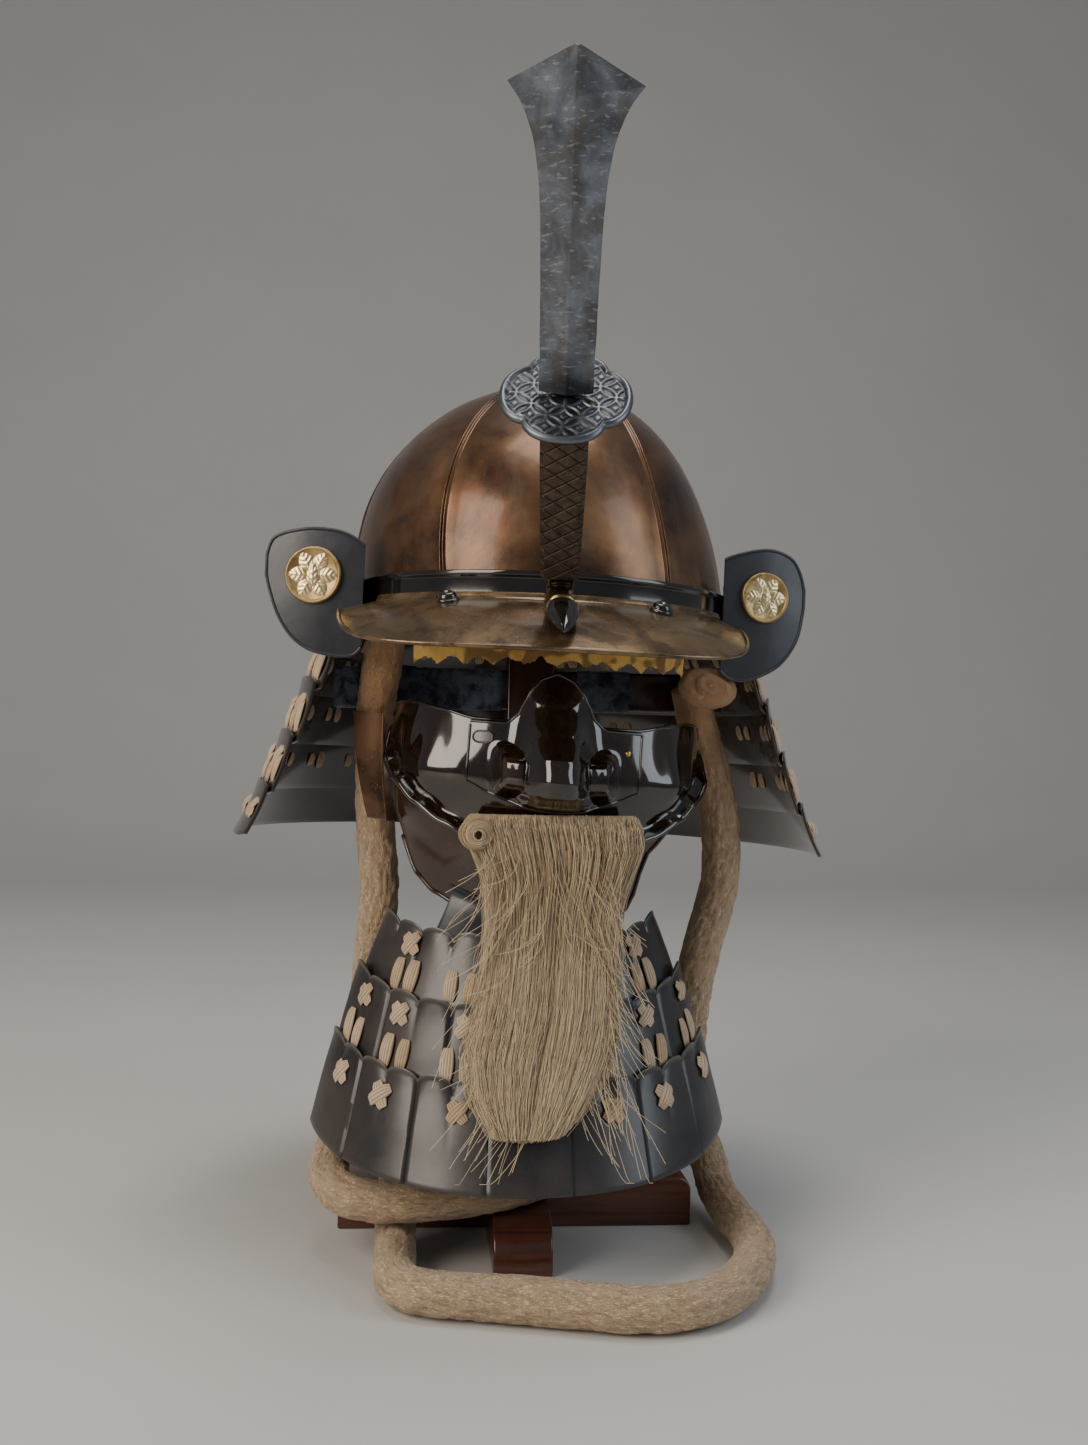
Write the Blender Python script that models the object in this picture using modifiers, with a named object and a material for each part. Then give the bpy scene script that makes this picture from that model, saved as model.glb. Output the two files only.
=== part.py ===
"""Samurai helmet (kabuto) with its half mask, throat guard, beard, chin cord and plain wooden stand.

Shapes are laid out in millimetres and reach Blender in metres. +Z is up and the helmet faces -Y.
The stand's cross is centred on the origin and rests on Z = 0. The helmet sits a little askew on the
stand, so it hangs on its own empty, and so does the mask.
"""

import math

import bmesh
import bpy
from mathutils import Matrix, Vector

for old in list(bpy.data.objects):
    bpy.data.objects.remove(old, do_unlink=True)

MM = 0.001
GAP = 0.3  # kept between pieces that touch

# The helmet: its rim plane, how it sits, and the bowl's half width, half depth, height and thickness.
HELMET_AT = (9.0, 0.0, 363.0)
HELMET_ROLL = 1.6
HELMET_PITCH = 1.8
BOWL_A = 107.5
BOWL_B = 122.0
BOWL_H = 124.0
BOWL_T = 2.2
BOWL_SWAY = 4.0  # the old bowl bulges a little to one side
BOWL_FOOT = -9.0  # the plates run down behind the waist band
BOWL_TOP = 0.94  # share of the way up where the plates end under the crown boss
SEAMS = (-34.0, 34.0, 90.0, 146.0, 214.0, 270.0, 326.0)
PLATE_NAMES = ("front", "front_right", "back_right", "back", "back_left", "front_left")
RIB_W = 1.9
RIB_H = 1.3
BAND_TOP = 1.6
BAND_FOOT = -12.0
LAME_T = 1.4

# The peak: an angle each way from the front, its reach and its thickness.
PEAK_SPAN = 56.0
PEAK_HALF = 107.0
PEAK_SHIFT = -6.0
PEAK_T = 1.8

# The crest leans forward from the hook; lengths along it are counted from the foot of its hilt.
CREST_LEAN = 42.0
CREST_TWIST = -6.5
CREST_AT = (-3.3, -150.0, -1.1)
HILT_TOP = 95.8
GUARD_AT = 98.0
GUARD_TILT = 8.0
GUARD_A = 30.6
GUARD_B = 33.0
BLADE_TIP_W = 55.0

# The mask: an oval of cheeks round the face, set to the helmet's right by a few millimetres.
MASK_X = 8.0
MASK_ROLL = 3.6
MASK_PIVOT = 240.0
MASK_A = 88.0
MASK_B = 70.0
MASK_Y = -38.0
CHEEK_SPAN = 84.0
JAW_SPAN = 78.0

# The throat guard hangs round its own axis.
THROAT_X = -3.0
THROAT_Y = -45.0
THROAT_SPAN = 76.0

# The stand: a cross of two half-lapped bars, a post, and a bar that the mask is tied to.
PLANK_L = 204.0
PLANK_W = 66.0
FOOT_L = 220.0
FOOT_X = (-17.5, 14.0)
CROSS_H = 28.0
POST_X = 4.0
POST_W = 27.0
POST_Y = (-14.0, 12.5)
POST_TOP = 343.5
BAR_X = (-111.0, 119.0)
BAR_Y = (-10.0, 9.0)
BAR_Z = (298.0, 321.0)
REST_Z = (204.0, 212.0)

CORD_D = 23.0
CORD_STEP = 34.0

# Material name, colour, metallic, roughness.
BROWN_IRON = ("bowl_lacquer", (0.10, 0.055, 0.03), 0.6, 0.3)
BLACK_LACQUER = ("black_lacquer", (0.012, 0.011, 0.011), 0.0, 0.2)
INNER_LACQUER = ("neck_guard_lacquer", (0.03, 0.017, 0.01), 0.0, 0.25)
STEEL = ("crest_steel", (0.10, 0.12, 0.15), 0.9, 0.4)
BRASS = ("brass", (0.62, 0.45, 0.16), 1.0, 0.35)
MASK_LACQUER = ("mask_lacquer", (0.035, 0.02, 0.012), 0.3, 0.15)
LEATHER = ("wing_leather", (0.02, 0.022, 0.03), 0.0, 0.5)
SLATE = ("throat_guard_lacquer", (0.02, 0.022, 0.028), 0.0, 0.4)
CREPE = ("cord_crepe", (0.72, 0.52, 0.32), 0.0, 0.8)
HAIR = ("horsehair", (0.75, 0.65, 0.48), 0.0, 0.6)
WOOD = ("stand_wood", (0.07, 0.025, 0.015), 0.0, 0.35)
LINING = ("lining_leather", (0.5, 0.3, 0.08), 0.0, 0.7)

PARTS = bpy.data.collections.new("kabuto_on_stand")
bpy.context.scene.collection.children.link(PARTS)


# Small tools: materials, frames and Blender's own ways of making a solid.
def material(name, colour, metallic, roughness):
    mat = bpy.data.materials.get(name)
    if mat is None:
        mat = bpy.data.materials.new(name)
        mat.use_nodes = True
        shader = mat.node_tree.nodes["Principled BSDF"]
        shader.inputs["Base Color"].default_value = (*colour, 1.0)
        shader.inputs["Metallic"].default_value = metallic
        shader.inputs["Roughness"].default_value = roughness
    return mat


def turn(axis, degrees):
    return Matrix.Rotation(math.radians(degrees), 4, axis)


def move(x, y, z):
    return Matrix.Translation((x, y, z))


def facing(at, normal):
    """A frame at a point whose Z runs along the normal and whose X stays level."""
    z = Vector(normal).normalized()
    x = (Vector((1, 0, 0)) - z * z.x).normalized()
    return move(*at) @ Matrix((x, z.cross(x), z)).transposed().to_4x4()


def put(obj, mat, parent=None, place=None):
    """Links the object with its material, under its parent and at its place there, given in millimetres."""
    PARTS.objects.link(obj)
    if mat:
        obj.data.materials.append(material(*mat))
    obj.parent = parent
    if place is not None:
        basis = place.copy()
        basis.translation *= MM
        obj.matrix_basis = basis
    return obj


def frame_empty(name, place, parent=None):
    return put(bpy.data.objects.new(name, None), None, parent, place)


def mesh_object(name, bm, mat, parent, place, sharp):
    mesh = bpy.data.meshes.new(name)
    bm.to_mesh(mesh)
    bm.free()
    mesh.shade_smooth()
    mesh.set_sharp_from_angle(angle=math.radians(sharp))
    return put(bpy.data.objects.new(name, mesh), mat, parent, place)


def sheet(name, grid, thick, mat, parent=None, outward=None, sharp=40.0):
    """An open surface through a grid of points, made solid on its inner side."""
    bm = bmesh.new()
    points = [[bm.verts.new(Vector(p) * MM) for p in row] for row in grid]
    for near, far in zip(points, points[1:]):
        for j in range(len(near) - 1):
            bm.faces.new((near[j], far[j], far[j + 1], near[j + 1]))
    bm.normal_update()
    bm.faces.ensure_lookup_table()
    middle = bm.faces[len(bm.faces) // 2]
    centre = middle.calc_center_median()
    out = outward(centre) if outward else Vector((centre.x, centre.y, 0.0))
    if middle.normal.dot(out) < 0:
        bmesh.ops.reverse_faces(bm, faces=bm.faces)
    obj = mesh_object(name, bm, mat, parent, None, sharp)
    solid = obj.modifiers.new("thickness", "SOLIDIFY")
    solid.thickness = thick * MM
    solid.offset = -1.0
    return obj


def loft(name, loops, mat, parent=None, ring=False, sharp=40.0):
    """Sections of equal point count joined in turn, with flat ends unless the last meets the first."""
    bm = bmesh.new()
    points = [[bm.verts.new(Vector(p) * MM) for p in loop] for loop in loops]
    pairs = list(zip(points, points[1:]))
    if ring:
        pairs.append((points[-1], points[0]))
    else:
        bm.faces.new(points[0][::-1])
        bm.faces.new(points[-1])
    for low, high in pairs:
        for j in range(len(low)):
            k = (j + 1) % len(low)
            bm.faces.new((low[j], low[k], high[k], high[j]))
    bmesh.ops.recalc_face_normals(bm, faces=bm.faces)
    return mesh_object(name, bm, mat, parent, None, sharp)


def turned(name, profile, mat, parent=None, place=None, steps=16):
    """A profile of (radius, height), from its top down its outer side, turned about Z."""
    bm = bmesh.new()
    points = [bm.verts.new((r * MM, 0.0, z * MM)) for r, z in profile]
    for a, b in zip(points, points[1:]):
        bm.edges.new((a, b))
    obj = mesh_object(name, bm, mat, parent, place, 40.0)
    screw = obj.modifiers.new("turn", "SCREW")
    screw.steps = screw.render_steps = steps
    screw.use_merge_vertices = True
    screw.merge_threshold = 0.00001
    return obj


def block(name, x, y, z, mat, edge=0.0):
    """A box between two values on each axis, its edges broken by a bevel."""
    bm = bmesh.new()
    bmesh.ops.create_cube(bm, size=1.0)
    size = Vector((x[1] - x[0], y[1] - y[0], z[1] - z[0]))
    bmesh.ops.scale(bm, vec=size * MM, verts=bm.verts)
    centre = move(*((a + b) / 2 for a, b in (x, y, z)))
    obj = mesh_object(name, bm, mat, None, centre, 40.0)
    if edge:
        bevel = obj.modifiers.new("edge", "BEVEL")
        bevel.width = edge * MM
        bevel.segments = 1
    return obj


ALONG_X = turn("Z", 90.0) @ turn("X", 90.0)
ALONG_Y = turn("X", 90.0)


def flat(name, outline, start, end, turned_to, mat):
    """A filled 2D outline carried from start to end along X or Y. It is drawn in (y, z) or (x, z)."""
    data = bpy.data.curves.new(name, "CURVE")
    data.dimensions = "2D"
    data.fill_mode = "BOTH"
    data.extrude = abs(end - start) / 2 * MM
    spline = data.splines.new("POLY")
    spline.points.add(len(outline) - 1)
    spline.use_cyclic_u = True
    for point, (u, v) in zip(spline.points, outline):
        point.co = (u * MM, v * MM, 0.0, 1.0)
    middle = (start + end) / 2
    at = move(middle, 0, 0) if turned_to is ALONG_X else move(0, middle, 0)
    return put(bpy.data.objects.new(name, data), mat, None, at @ turned_to)


def lerp(a, b, t):
    return a + (b - a) * t


def through(knots, x):
    """The value at x on an eased line through sorted (x, value) knots."""
    if x <= knots[0][0]:
        return knots[0][1]
    for (x0, v0), (x1, v1) in zip(knots, knots[1:]):
        if x <= x1:
            t = (x - x0) / (x1 - x0)
            return lerp(v0, v1, 0.5 * (t + t * t * (3 - 2 * t)))
    return knots[-1][1]


def oval(a, b, degrees, z=0.0, y0=0.0):
    """A point on an ellipse, its angle counted from the front towards +X."""
    t = math.radians(degrees)
    return Vector((a * math.sin(t), y0 - b * math.cos(t), z))


def bump(x, centre, width, power=2):
    return math.exp(-(abs((x - centre) / width) ** power))


HELMET = frame_empty("helmet_frame", move(*HELMET_AT) @ turn("Y", HELMET_ROLL) @ turn("X", -HELMET_PITCH))
MASK_PLACE = move(MASK_X, 0, MASK_PIVOT) @ turn("Y", MASK_ROLL) @ move(0, 0, -MASK_PIVOT)
MASK = frame_empty("mask_frame", MASK_PLACE)
lean = math.radians(90.0 - CREST_LEAN)
CREST = frame_empty(
    "crest_frame",
    facing(CREST_AT, (-0.077, -math.cos(lean), math.sin(lean))) @ turn("Z", CREST_TWIST),
    HELMET,
)


# Bowl: six plates with raised edges, a boss over the crown and a band round the waist.
def bowl_point(degrees, tau, lift=0.0):
    """A point of the outer side. tau is 0 at the rim and 1 at the crown; below 0 it is inside the band."""
    if tau < 0:
        return oval(BOWL_A + lift, BOWL_B + lift, degrees, tau * 10.0)
    climb = math.radians(90 * tau)
    reach = math.cos(climb) ** 0.92
    z = (BOWL_H + lift) * math.sin(climb) + 3.0 * max(0.0, tau - 0.75) / 0.25
    p = oval((BOWL_A + lift) * reach, (BOWL_B + lift) * reach, degrees, z)
    p.x -= BOWL_SWAY * math.sin(math.pi * min(1.0, max(0.0, z / 120.0)))
    return p


def plate_row(start, end, tau, across):
    """(angle, lift) pairs over a plate at one height: its edges stand up as ribs of even width."""
    mid = bowl_point(0.5 * (start + end), tau)
    radius = max(8.0, math.hypot(mid.x, mid.y))
    gap = math.degrees(GAP * 0.55 / radius)
    rib = math.degrees(RIB_W / radius)
    a, b = start + gap, end - gap
    lift = RIB_H if tau >= 0 else 0.0
    foot_a, foot_b = a + rib * 1.25, b - rib * 1.25
    flat_part = [(lerp(foot_a, foot_b, k / across), 0.0) for k in range(across + 1)]
    return [(a, lift), (a + rib, lift)] + flat_part + [(b - rib, lift), (b, lift)]


def bowl_plate(name, start, end, across=4, up=8):
    """A plate lofted from section to section; its inner side stays smooth behind the ribs."""
    taus = [BOWL_FOOT / 10.0] + [BOWL_TOP * (k / (up - 1)) ** 0.93 for k in range(up)]
    loops = []
    for tau in taus:
        row = plate_row(start, end, tau, across)
        outer = [bowl_point(d, tau, lift) for d, lift in row]
        inner = [bowl_point(d, tau, -BOWL_T) for d, _ in row]
        loops.append(outer + inner[::-1])
    return loft(name, loops, BROWN_IRON, HELMET, sharp=35.0)


def make_bowl():
    for name, start, end in zip(PLATE_NAMES, SEAMS, SEAMS[1:]):
        bowl_plate("bowl_plate_" + name, start, end)
    z = bowl_point(0, BOWL_TOP, RIB_H).z + 2 * GAP
    boss = [(0, z + 4.8), (9, z + 3.8), (15.5, z + 1.6), (15.5, z), (0, z)]
    turned("crown_boss", boss, BROWN_IRON, HELMET)
    section = [
        (RIB_H + 1.1, BAND_FOOT), (RIB_H + 1.1, BAND_TOP), (3.6, BAND_TOP + 1.4), (4.9, BAND_TOP - 0.4),
        (3.6, BAND_TOP - 2.4), (3.6, BAND_FOOT),
    ]
    steps = 32
    ring = [[oval(BOWL_A + o, BOWL_B + o, 360.0 * k / steps, z) for o, z in section] for k in range(steps)]
    loft("waist_band", ring, BLACK_LACQUER, HELMET, ring=True, sharp=35.0)


# Peak: a plate that slopes down and out from the band, its rim rolled.
def peak_rim(degrees):
    side = degrees / PEAK_SPAN
    a = side * math.pi / 2
    x = PEAK_SHIFT + PEAK_HALF * math.copysign(abs(math.sin(a)) ** 0.80, a)
    return Vector((x, -88.0 - 86.0 * max(0.0, math.cos(a)) ** 0.62, -40.0 + 21.0 * abs(side) ** 4.0))


def peak_line(degrees, rows):
    """The peak's outer side from the band out to its rolled rim."""
    root = oval(BOWL_A + 5.7, BOWL_B + 5.7, degrees, -8.6)
    bend = oval(BOWL_A + 7.2, BOWL_B + 7.2, degrees, -12.2)
    rim = peak_rim(degrees)
    line = [root, bend]
    for j in range(1, rows + 1):
        t = j / rows
        rise = 2.0 * math.sin(math.pi * t) * (1 - abs(degrees / PEAK_SPAN) ** 4)
        line.append(bend.lerp(rim, t) + Vector((0, 0, rise)))
    out = (rim - bend).normalized()
    return line + [rim + out * 0.9 + Vector((0, 0, 0.9)), rim + out * 1.2 - Vector((0, 0, 0.9))]


def make_peak(columns=20, rows=3):
    angles = [lerp(-PEAK_SPAN, PEAK_SPAN, i / columns) for i in range(columns + 1)]
    grid = [peak_line(d, rows) for d in angles]
    sheet("peak", grid, PEAK_T, BROWN_IRON, HELMET, outward=lambda p: Vector((0, -0.3, 1)), sharp=50.0)
    rivet = [(0, 4.0), (3.6, 3.4), (5.6, 1.8), (6.0, 0), (0, 0)]
    for side, x, y, tilt in (("left", -57.5, -118.0, -0.12), ("right", 53.5, -120.0, 0.12)):
        place = facing((x, y, -13.2), (tilt, -0.42, 0.9))
        turned("peak_rivet_" + side, rivet, BLACK_LACQUER, HELMET, place, 12)


# Crest: a blade standing in a guard and a hilt, on a hook above an acorn.
def blade_section(along, width, thick, up=0.0):
    w, t = width / 2, thick / 2
    return [(-w, 0, along + up), (0, -t, along), (w, 0, along + up), (0, t, along)]


def guard_ring(scale, z, points=32):
    """The guard's outline: an oval with four notches on its diagonals."""
    ring = []
    for k in range(points):
        a = 2 * math.pi * (k + 0.5) / points
        notch = 1 - 0.13 * (1 - abs(math.cos(2 * a))) ** 2.2
        ring.append((GUARD_A * math.cos(a) * notch * scale, GUARD_B * math.sin(a) * notch * scale, z))
    return ring


def hilt_section(along, width, thick, chamfer=2.2):
    x, y, c = width / 2, thick / 2, chamfer
    return [
        (-x, c - y, along), (c - x, -y, along), (x - c, -y, along), (x, c - y, along),
        (x, y - c, along), (x - c, y, along), (c - x, y, along), (-x, y - c, along),
    ]


def hook_section(y, z, width, thick, slope, x):
    """A flat strip's section, square to its run at this slope."""
    across = Vector((0, math.cos(math.radians(slope)), math.sin(math.radians(slope)))) * (thick / 2)
    centre, side = Vector((x, y, z)), Vector((width / 2, 0, 0))
    return [centre - across - side, centre - across + side, centre + across + side, centre + across - side]


def make_crest():
    blade = [
        (100.4, 24.6, 6.0), (130, 25, 6.6), (172, 26.2, 7.4), (191, 27.8, 8.0), (205, 30.4, 8.6),
        (213, 33.4, 9.0), (220, 37.4, 9.4), (227, 43.6, 9.8),
    ]
    loops = [blade_section(*row) for row in blade]
    loops += [blade_section(232.5, BLADE_TIP_W, 10.2, 3.6), blade_section(251.6, 1.2, 0.8)]
    loft("crest_blade", loops, STEEL, CREST, sharp=12.0)

    steps = ((0.86, 1.0), (0.90, 1.7), (0.985, 1.7))
    rings = [guard_ring(s, -z) for s, z in steps] + [guard_ring(1.0, 0.0)]
    rings += [guard_ring(s, z) for s, z in steps[::-1]]
    guard = loft("crest_guard", rings, STEEL, CREST)
    guard.matrix_basis = move(0, 0, GUARD_AT * MM) @ turn("X", GUARD_TILT)

    hilt = (
        (0, 15.5, 8), (1.6, 18.2, 10.6), (4.5, 19.4, 11.6), (45, 21.4, 12), (72, 22.4, 12),
        (HILT_TOP, 22.6, 12),
    )
    loft("crest_hilt", [hilt_section(*row) for row in hilt], STEEL, CREST)

    hook = (
        (-126.0, -5.2, 14.0, 5.0, 92.0, -1.6), (-137.0, -7.4, 14.4, 5.0, 80.0, -1.6),
        (-145.4, -5.6, 14.8, 5.4, 55.0, -2.4), (-149.4, -1.9, 14.8, 6.0, 42.0, -2.4),
    )
    loft("crest_hook", [hook_section(*row) for row in hook], BLACK_LACQUER, HELMET)

    acorn = [
        (0, 36), (3.4, 32), (6.3, 23.5), (7.9, 15.5), (8.3, 9.5), (7.8, 7), (5, 6), (5.6, 5.4), (5.2, 2),
        (3.2, -0.8), (0, -1.6),
    ]
    place = facing((-1.2, -143.6, -12.9), (-0.03, -0.852, -0.523)) @ Matrix.Diagonal((1.0, 0.62, 1.0, 1.0))
    turned("hook_acorn", acorn, BLACK_LACQUER, HELMET, place, 14)


# Neck guard: five lames round the back, and a turned-back wing with a disc on each side.
WING_LEFT = [
    (-102, 17, -38), (-106, 20, -42), (-113, 23.5, -43), (-121, 25, -42.3), (-131, 25.3, -39.5),
    (-140, 24, -33), (-147.5, 22, -22), (-152.5, 18.5, -9), (-155, 11, 0),
]
WING_RIGHT = [
    (97, 22, -40), (101, 24, -43.5), (108, 26.3, -45), (116, 28.3, -43.5), (124, 29, -40),
    (131.5, 27.6, -35), (138, 24, -27), (142.5, 16.5, -17), (145, 8, -2),
]
LAMES = [
    ((126.3, 140.8, -27.0), (136.0, 150.0, -61.0)),
    ((136.8, 150.8, -52.0), (147.0, 158.6, -91.0)),
    ((147.3, 159.3, -82.0), (159.0, 166.6, -119.0)),
    ((158.9, 167.0, -111.0), (172.0, 174.6, -142.0)),
]


def wing_y(x, left):
    root, start, length = (-102.0, -76.0, 53.0) if left else (97.0, -68.5, 48.0)
    out = abs(x - root)
    return start + 0.20 * out - 2.2 * math.sin(math.pi * out / length)


def wing_grid(outline, left, rows=6):
    grid = []
    for x, top, foot in outline:
        heights = [lerp(top, foot, j / rows) for j in range(rows + 1)]
        grid.append([(x, wing_y(x, left) + 1.6 * (z / 40.0) ** 2, z) for z in heights])
    return grid


def toward_front(_):
    return Vector((0, -1, 0))


def make_wings():
    sheet("wing_left", wing_grid(WING_LEFT, True), 1.8, LEATHER, HELMET, toward_front)
    sheet("wing_right", wing_grid(WING_RIGHT, False), 1.8, LEATHER, HELMET, toward_front)
    for side, x, z, r in (("left", -129.0, 0.0, 15.6), ("right", 120.5, 2.0, 14.2)):
        left = side == "left"
        slope = (wing_y(x + 1, left) - wing_y(x - 1, left)) / 2
        normal = Vector((slope, -1.0, 0.0)).normalized()
        at = Vector((x, wing_y(x, left), z)) + normal * (GAP + 0.1)
        disc = [(0, 2.9), (r * 0.5, 2.7), (r - 1.2, 2.0), (r, 1.0), (r, 0), (0, 0)]
        turned("wing_disc_" + side, disc, BRASS, HELMET, facing(at, normal), 24)


def lame_grid(top, foot, tip, stations, droop):
    """From one tip round the back to the other. top and foot are (half width, half depth, z)."""
    grid = []
    for i in range(stations + 1):
        degrees = lerp(tip, 360 - tip, i / stations)
        drop = droop * abs(2 * i / stations - 1) ** 3
        line = []
        for t in (0.0, 0.5, 1.0):
            a, b, z = (lerp(u, v, t) for u, v in zip(top, foot))
            bow = -1.2 * math.sin(math.pi * t)
            line.append(oval(a + bow, b + bow, degrees, z - drop))
        grid.append(line)
    return grid


def end_line(x, y, top, foot, splay):
    return [(x, y, top), (x + 0.13 * splay, y, lerp(top, foot, 0.4)), (x + splay, y, foot)]


def make_neck_guard():
    stations = 30
    first = [end_line(-104.6, -71.9, 12.0, -38.0, -3.0), end_line(-105.0, -66.0, 6.0, -37.0, -3.0)]
    for i in range(stations + 1):
        degrees = lerp(-64.0, -296.0, i / stations)
        ramp = max(0.0, 1 - min(i, stations - i) / 3.0)
        first.append([
            oval(BOWL_A + 7.8, BOWL_B + 7.8, degrees, lerp(-3.0, 2.0, ramp)),
            oval(BOWL_A + 8.4, BOWL_B + 8.4, degrees, -12.0),
            oval(BOWL_A + 18.0, BOWL_B + 18.0, degrees, -36.0),
        ])
    first += [end_line(101.0, -58.0, 8.0, -38.0, 3.0), end_line(101.0, -64.3, 14.0, -39.0, 3.0)]
    sheet("neck_lame_1", first, LAME_T, INNER_LACQUER, HELMET)
    for k, (top, foot) in enumerate(LAMES):
        grid = lame_grid(top, foot, 66.0 + k, 24, 1.0)
        sheet("neck_lame_%d" % (k + 2), grid, LAME_T, INNER_LACQUER, HELMET)


def make_lining(teeth=20):
    """Its lower edge is torn to teeth. Each row is how far inside the bowl's rim it hangs, and its z."""
    grid = []
    for i in range(teeth + 1):
        degrees = lerp(-46, 46, i / teeth)
        rows = ((3.8, -2.0), (4.4, -20.0), (5.6, -45.0 if i % 2 else -41.0))
        grid.append([oval(BOWL_A - inset, BOWL_B - inset, degrees, z) for inset, z in rows])
    sheet("brow_lining", grid, 1.2, LINING, HELMET)


# Stand: it carries the helmet on a turned head block and the mask on a small rest.
def bar_outline(half, radius, notch, notch_above):
    """A floor bar's side view: rounded top ends, and half its depth cut out where the other bar crosses."""
    arc = []
    for k in range(6):
        a = math.radians(90 * k / 5)
        arc.append((half - radius + radius * math.cos(a), CROSS_H - radius + radius * math.sin(a)))
    far = [(-u, v) for u, v in arc[::-1]]
    n0, n1 = notch
    if notch_above:
        mid = (CROSS_H - GAP) / 2
        return [(-half, 0), (half, 0)] + arc + [(n1, CROSS_H), (n1, mid), (n0, mid), (n0, CROSS_H)] + far
    mid = (CROSS_H + GAP) / 2
    return [(-half, 0), (n0, 0), (n0, mid), (n1, mid), (n1, 0), (half, 0)] + arc + far


def make_stand():
    side = PLANK_W / 2
    plank = bar_outline(PLANK_L / 2, 8.0, (FOOT_X[0] - GAP, FOOT_X[1] + GAP), True)
    flat("stand_plank", plank, -side, side, ALONG_Y, WOOD)
    flat("stand_foot", bar_outline(FOOT_L / 2, 21.0, (-side - GAP, side + GAP), False), *FOOT_X, ALONG_X, WOOD)
    front, back = POST_Y
    notch = BAR_Y[0] - GAP
    low, high = BAR_Z[0] - GAP, BAR_Z[1] + GAP
    post = [
        (front, CROSS_H + GAP), (back, CROSS_H + GAP), (back, low), (notch, low), (notch, high), (back, high),
        (back, POST_TOP), (front, POST_TOP),
    ]
    flat("stand_post", post, POST_X - POST_W / 2, POST_X + POST_W / 2, ALONG_X, WOOD)
    block("stand_bar", BAR_X, BAR_Y, BAR_Z, WOOD, 1.2)
    head = [
        (0, 122.7), (12.6, 122.7), (26, 116.5), (40, 107), (52, 94), (56, 78), (48, 66), (12, 58), (12, -18.6),
        (0, -18.6),
    ]
    turned("head_block", head, WOOD, HELMET, move(-0.6, 0, 0))
    block("mask_rest", (-4.0, 12.0), (-95.2, POST_Y[0] - GAP), REST_Z, WOOD)


# Mask: cheeks with a flared lower rim, a jaw behind them, a nose on them and a plate at one side.
# Knots are (angle, z) or (x, z); those that start at 0 serve both sides.
CHEEK_TOP = [(0, 291), (30, 291), (45, 294.5), (60, 297), (78, 296), (84, 288.5)]
CHEEK_FOOT = [(0, 224), (24, 229), (38, 237), (50, 246), (62, 257), (74, 270), (84, 284)]
JAW_FOOT = [
    (-78, 222), (-65, 203), (-52, 195), (-38, 190), (-18, 183), (0, 180), (18, 182), (34, 187), (41, 193),
    (44, 201), (47, 226), (56, 240), (68, 256), (78, 264),
]
NOSE_TOP = [(0, 317.5), (8, 314.5), (13, 309), (17, 302), (20, 295), (26, 290.0), (46, 289.5)]
NOSE_FOOT = [(0, 245), (12, 246), (26, 250), (34, 253), (46, 258)]
NOSE_RIDGE = [(245, 5), (249, 19), (254, 27), (262, 29), (272, 25), (285, 16), (300, 9), (317, 3)]
NOSE_HALF = 46.0


def mask_point(degrees, z, lift=0.0):
    """The cheeks' oval, drawn in a little above and below the cheekbones."""
    lift -= 4.0 * ((z - 268.0) / 40.0) ** 2
    return oval(MASK_A + lift, MASK_B + lift, degrees, z, MASK_Y)


def cheekbone(degrees, z):
    return 5.0 * bump(abs(degrees), 46, 17) * bump(z, 262, 13)


def cheek_line(degrees, rows):
    top, foot = through(CHEEK_TOP, abs(degrees)), through(CHEEK_FOOT, abs(degrees))
    heights = [lerp(top, foot + 3.5, j / rows) for j in range(rows + 1)]
    line = [mask_point(degrees, z, cheekbone(degrees, z)) for z in heights]
    flare = min(1.0, (CHEEK_SPAN - abs(degrees)) / 14.0)
    return line + [mask_point(degrees, foot + 1.0, 2.6 * flare), mask_point(degrees, foot - 2.0, 7.0 * flare)]


def jaw_point(degrees, z, lift=0.0):
    """The jaw's outer side: it follows the cheeks' inner side, then draws in towards the chin."""
    base = mask_point(degrees, max(z, 224.0), lift - 2.4)
    chin = max(0.0, 236 - z) / 56.0
    return Vector((base.x * (1 - 0.15 * chin), base.y + 5.0 * chin * math.cos(math.radians(degrees)), z))


def jaw_line(degrees, rows):
    top, foot = through(CHEEK_FOOT, abs(degrees)) + 6.0, through(JAW_FOOT, degrees)
    return [jaw_point(degrees, lerp(top, foot, j / rows)) for j in range(rows + 1)]


def nose_lift(x, z):
    """How far the nose stands off the cheeks: a ridge with a nostril wing each side."""
    ridge = through(NOSE_RIDGE, z)
    width = through([(262, 17), (285, 16), (317, 15)], z)
    body = ridge * bump(x, 0, width, 3.2)
    wing = 14.0 * bump(abs(x), 22.5, 8.5, 4) * bump(z, 264.5, 11.5, 4)
    return max(body, wing) + 0.25 * min(body, wing)


def nose_line(u, rows):
    """A line down the nose plate at u, from -1 to 1 across it. The ridge leans a little to one side."""
    x = NOSE_HALF * math.copysign(abs(u) ** 1.15, u)
    top, foot = through(NOSE_TOP, abs(x)), through(NOSE_FOOT, abs(x))
    degrees = math.degrees(math.asin(x / (MASK_A + 1.8)))
    line = []
    for j in range(rows + 1):
        z = lerp(top, foot, (j / rows) ** 0.92)
        base = mask_point(degrees, min(z, 292.0), 2.3 + cheekbone(degrees, z))
        lean_x = 0.055 * (z - 262.0) * max(0.0, 1 - (x / 44.0) ** 2)
        line.append(Vector((x - lean_x, base.y - nose_lift(x, z), z)))
    return line


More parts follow.
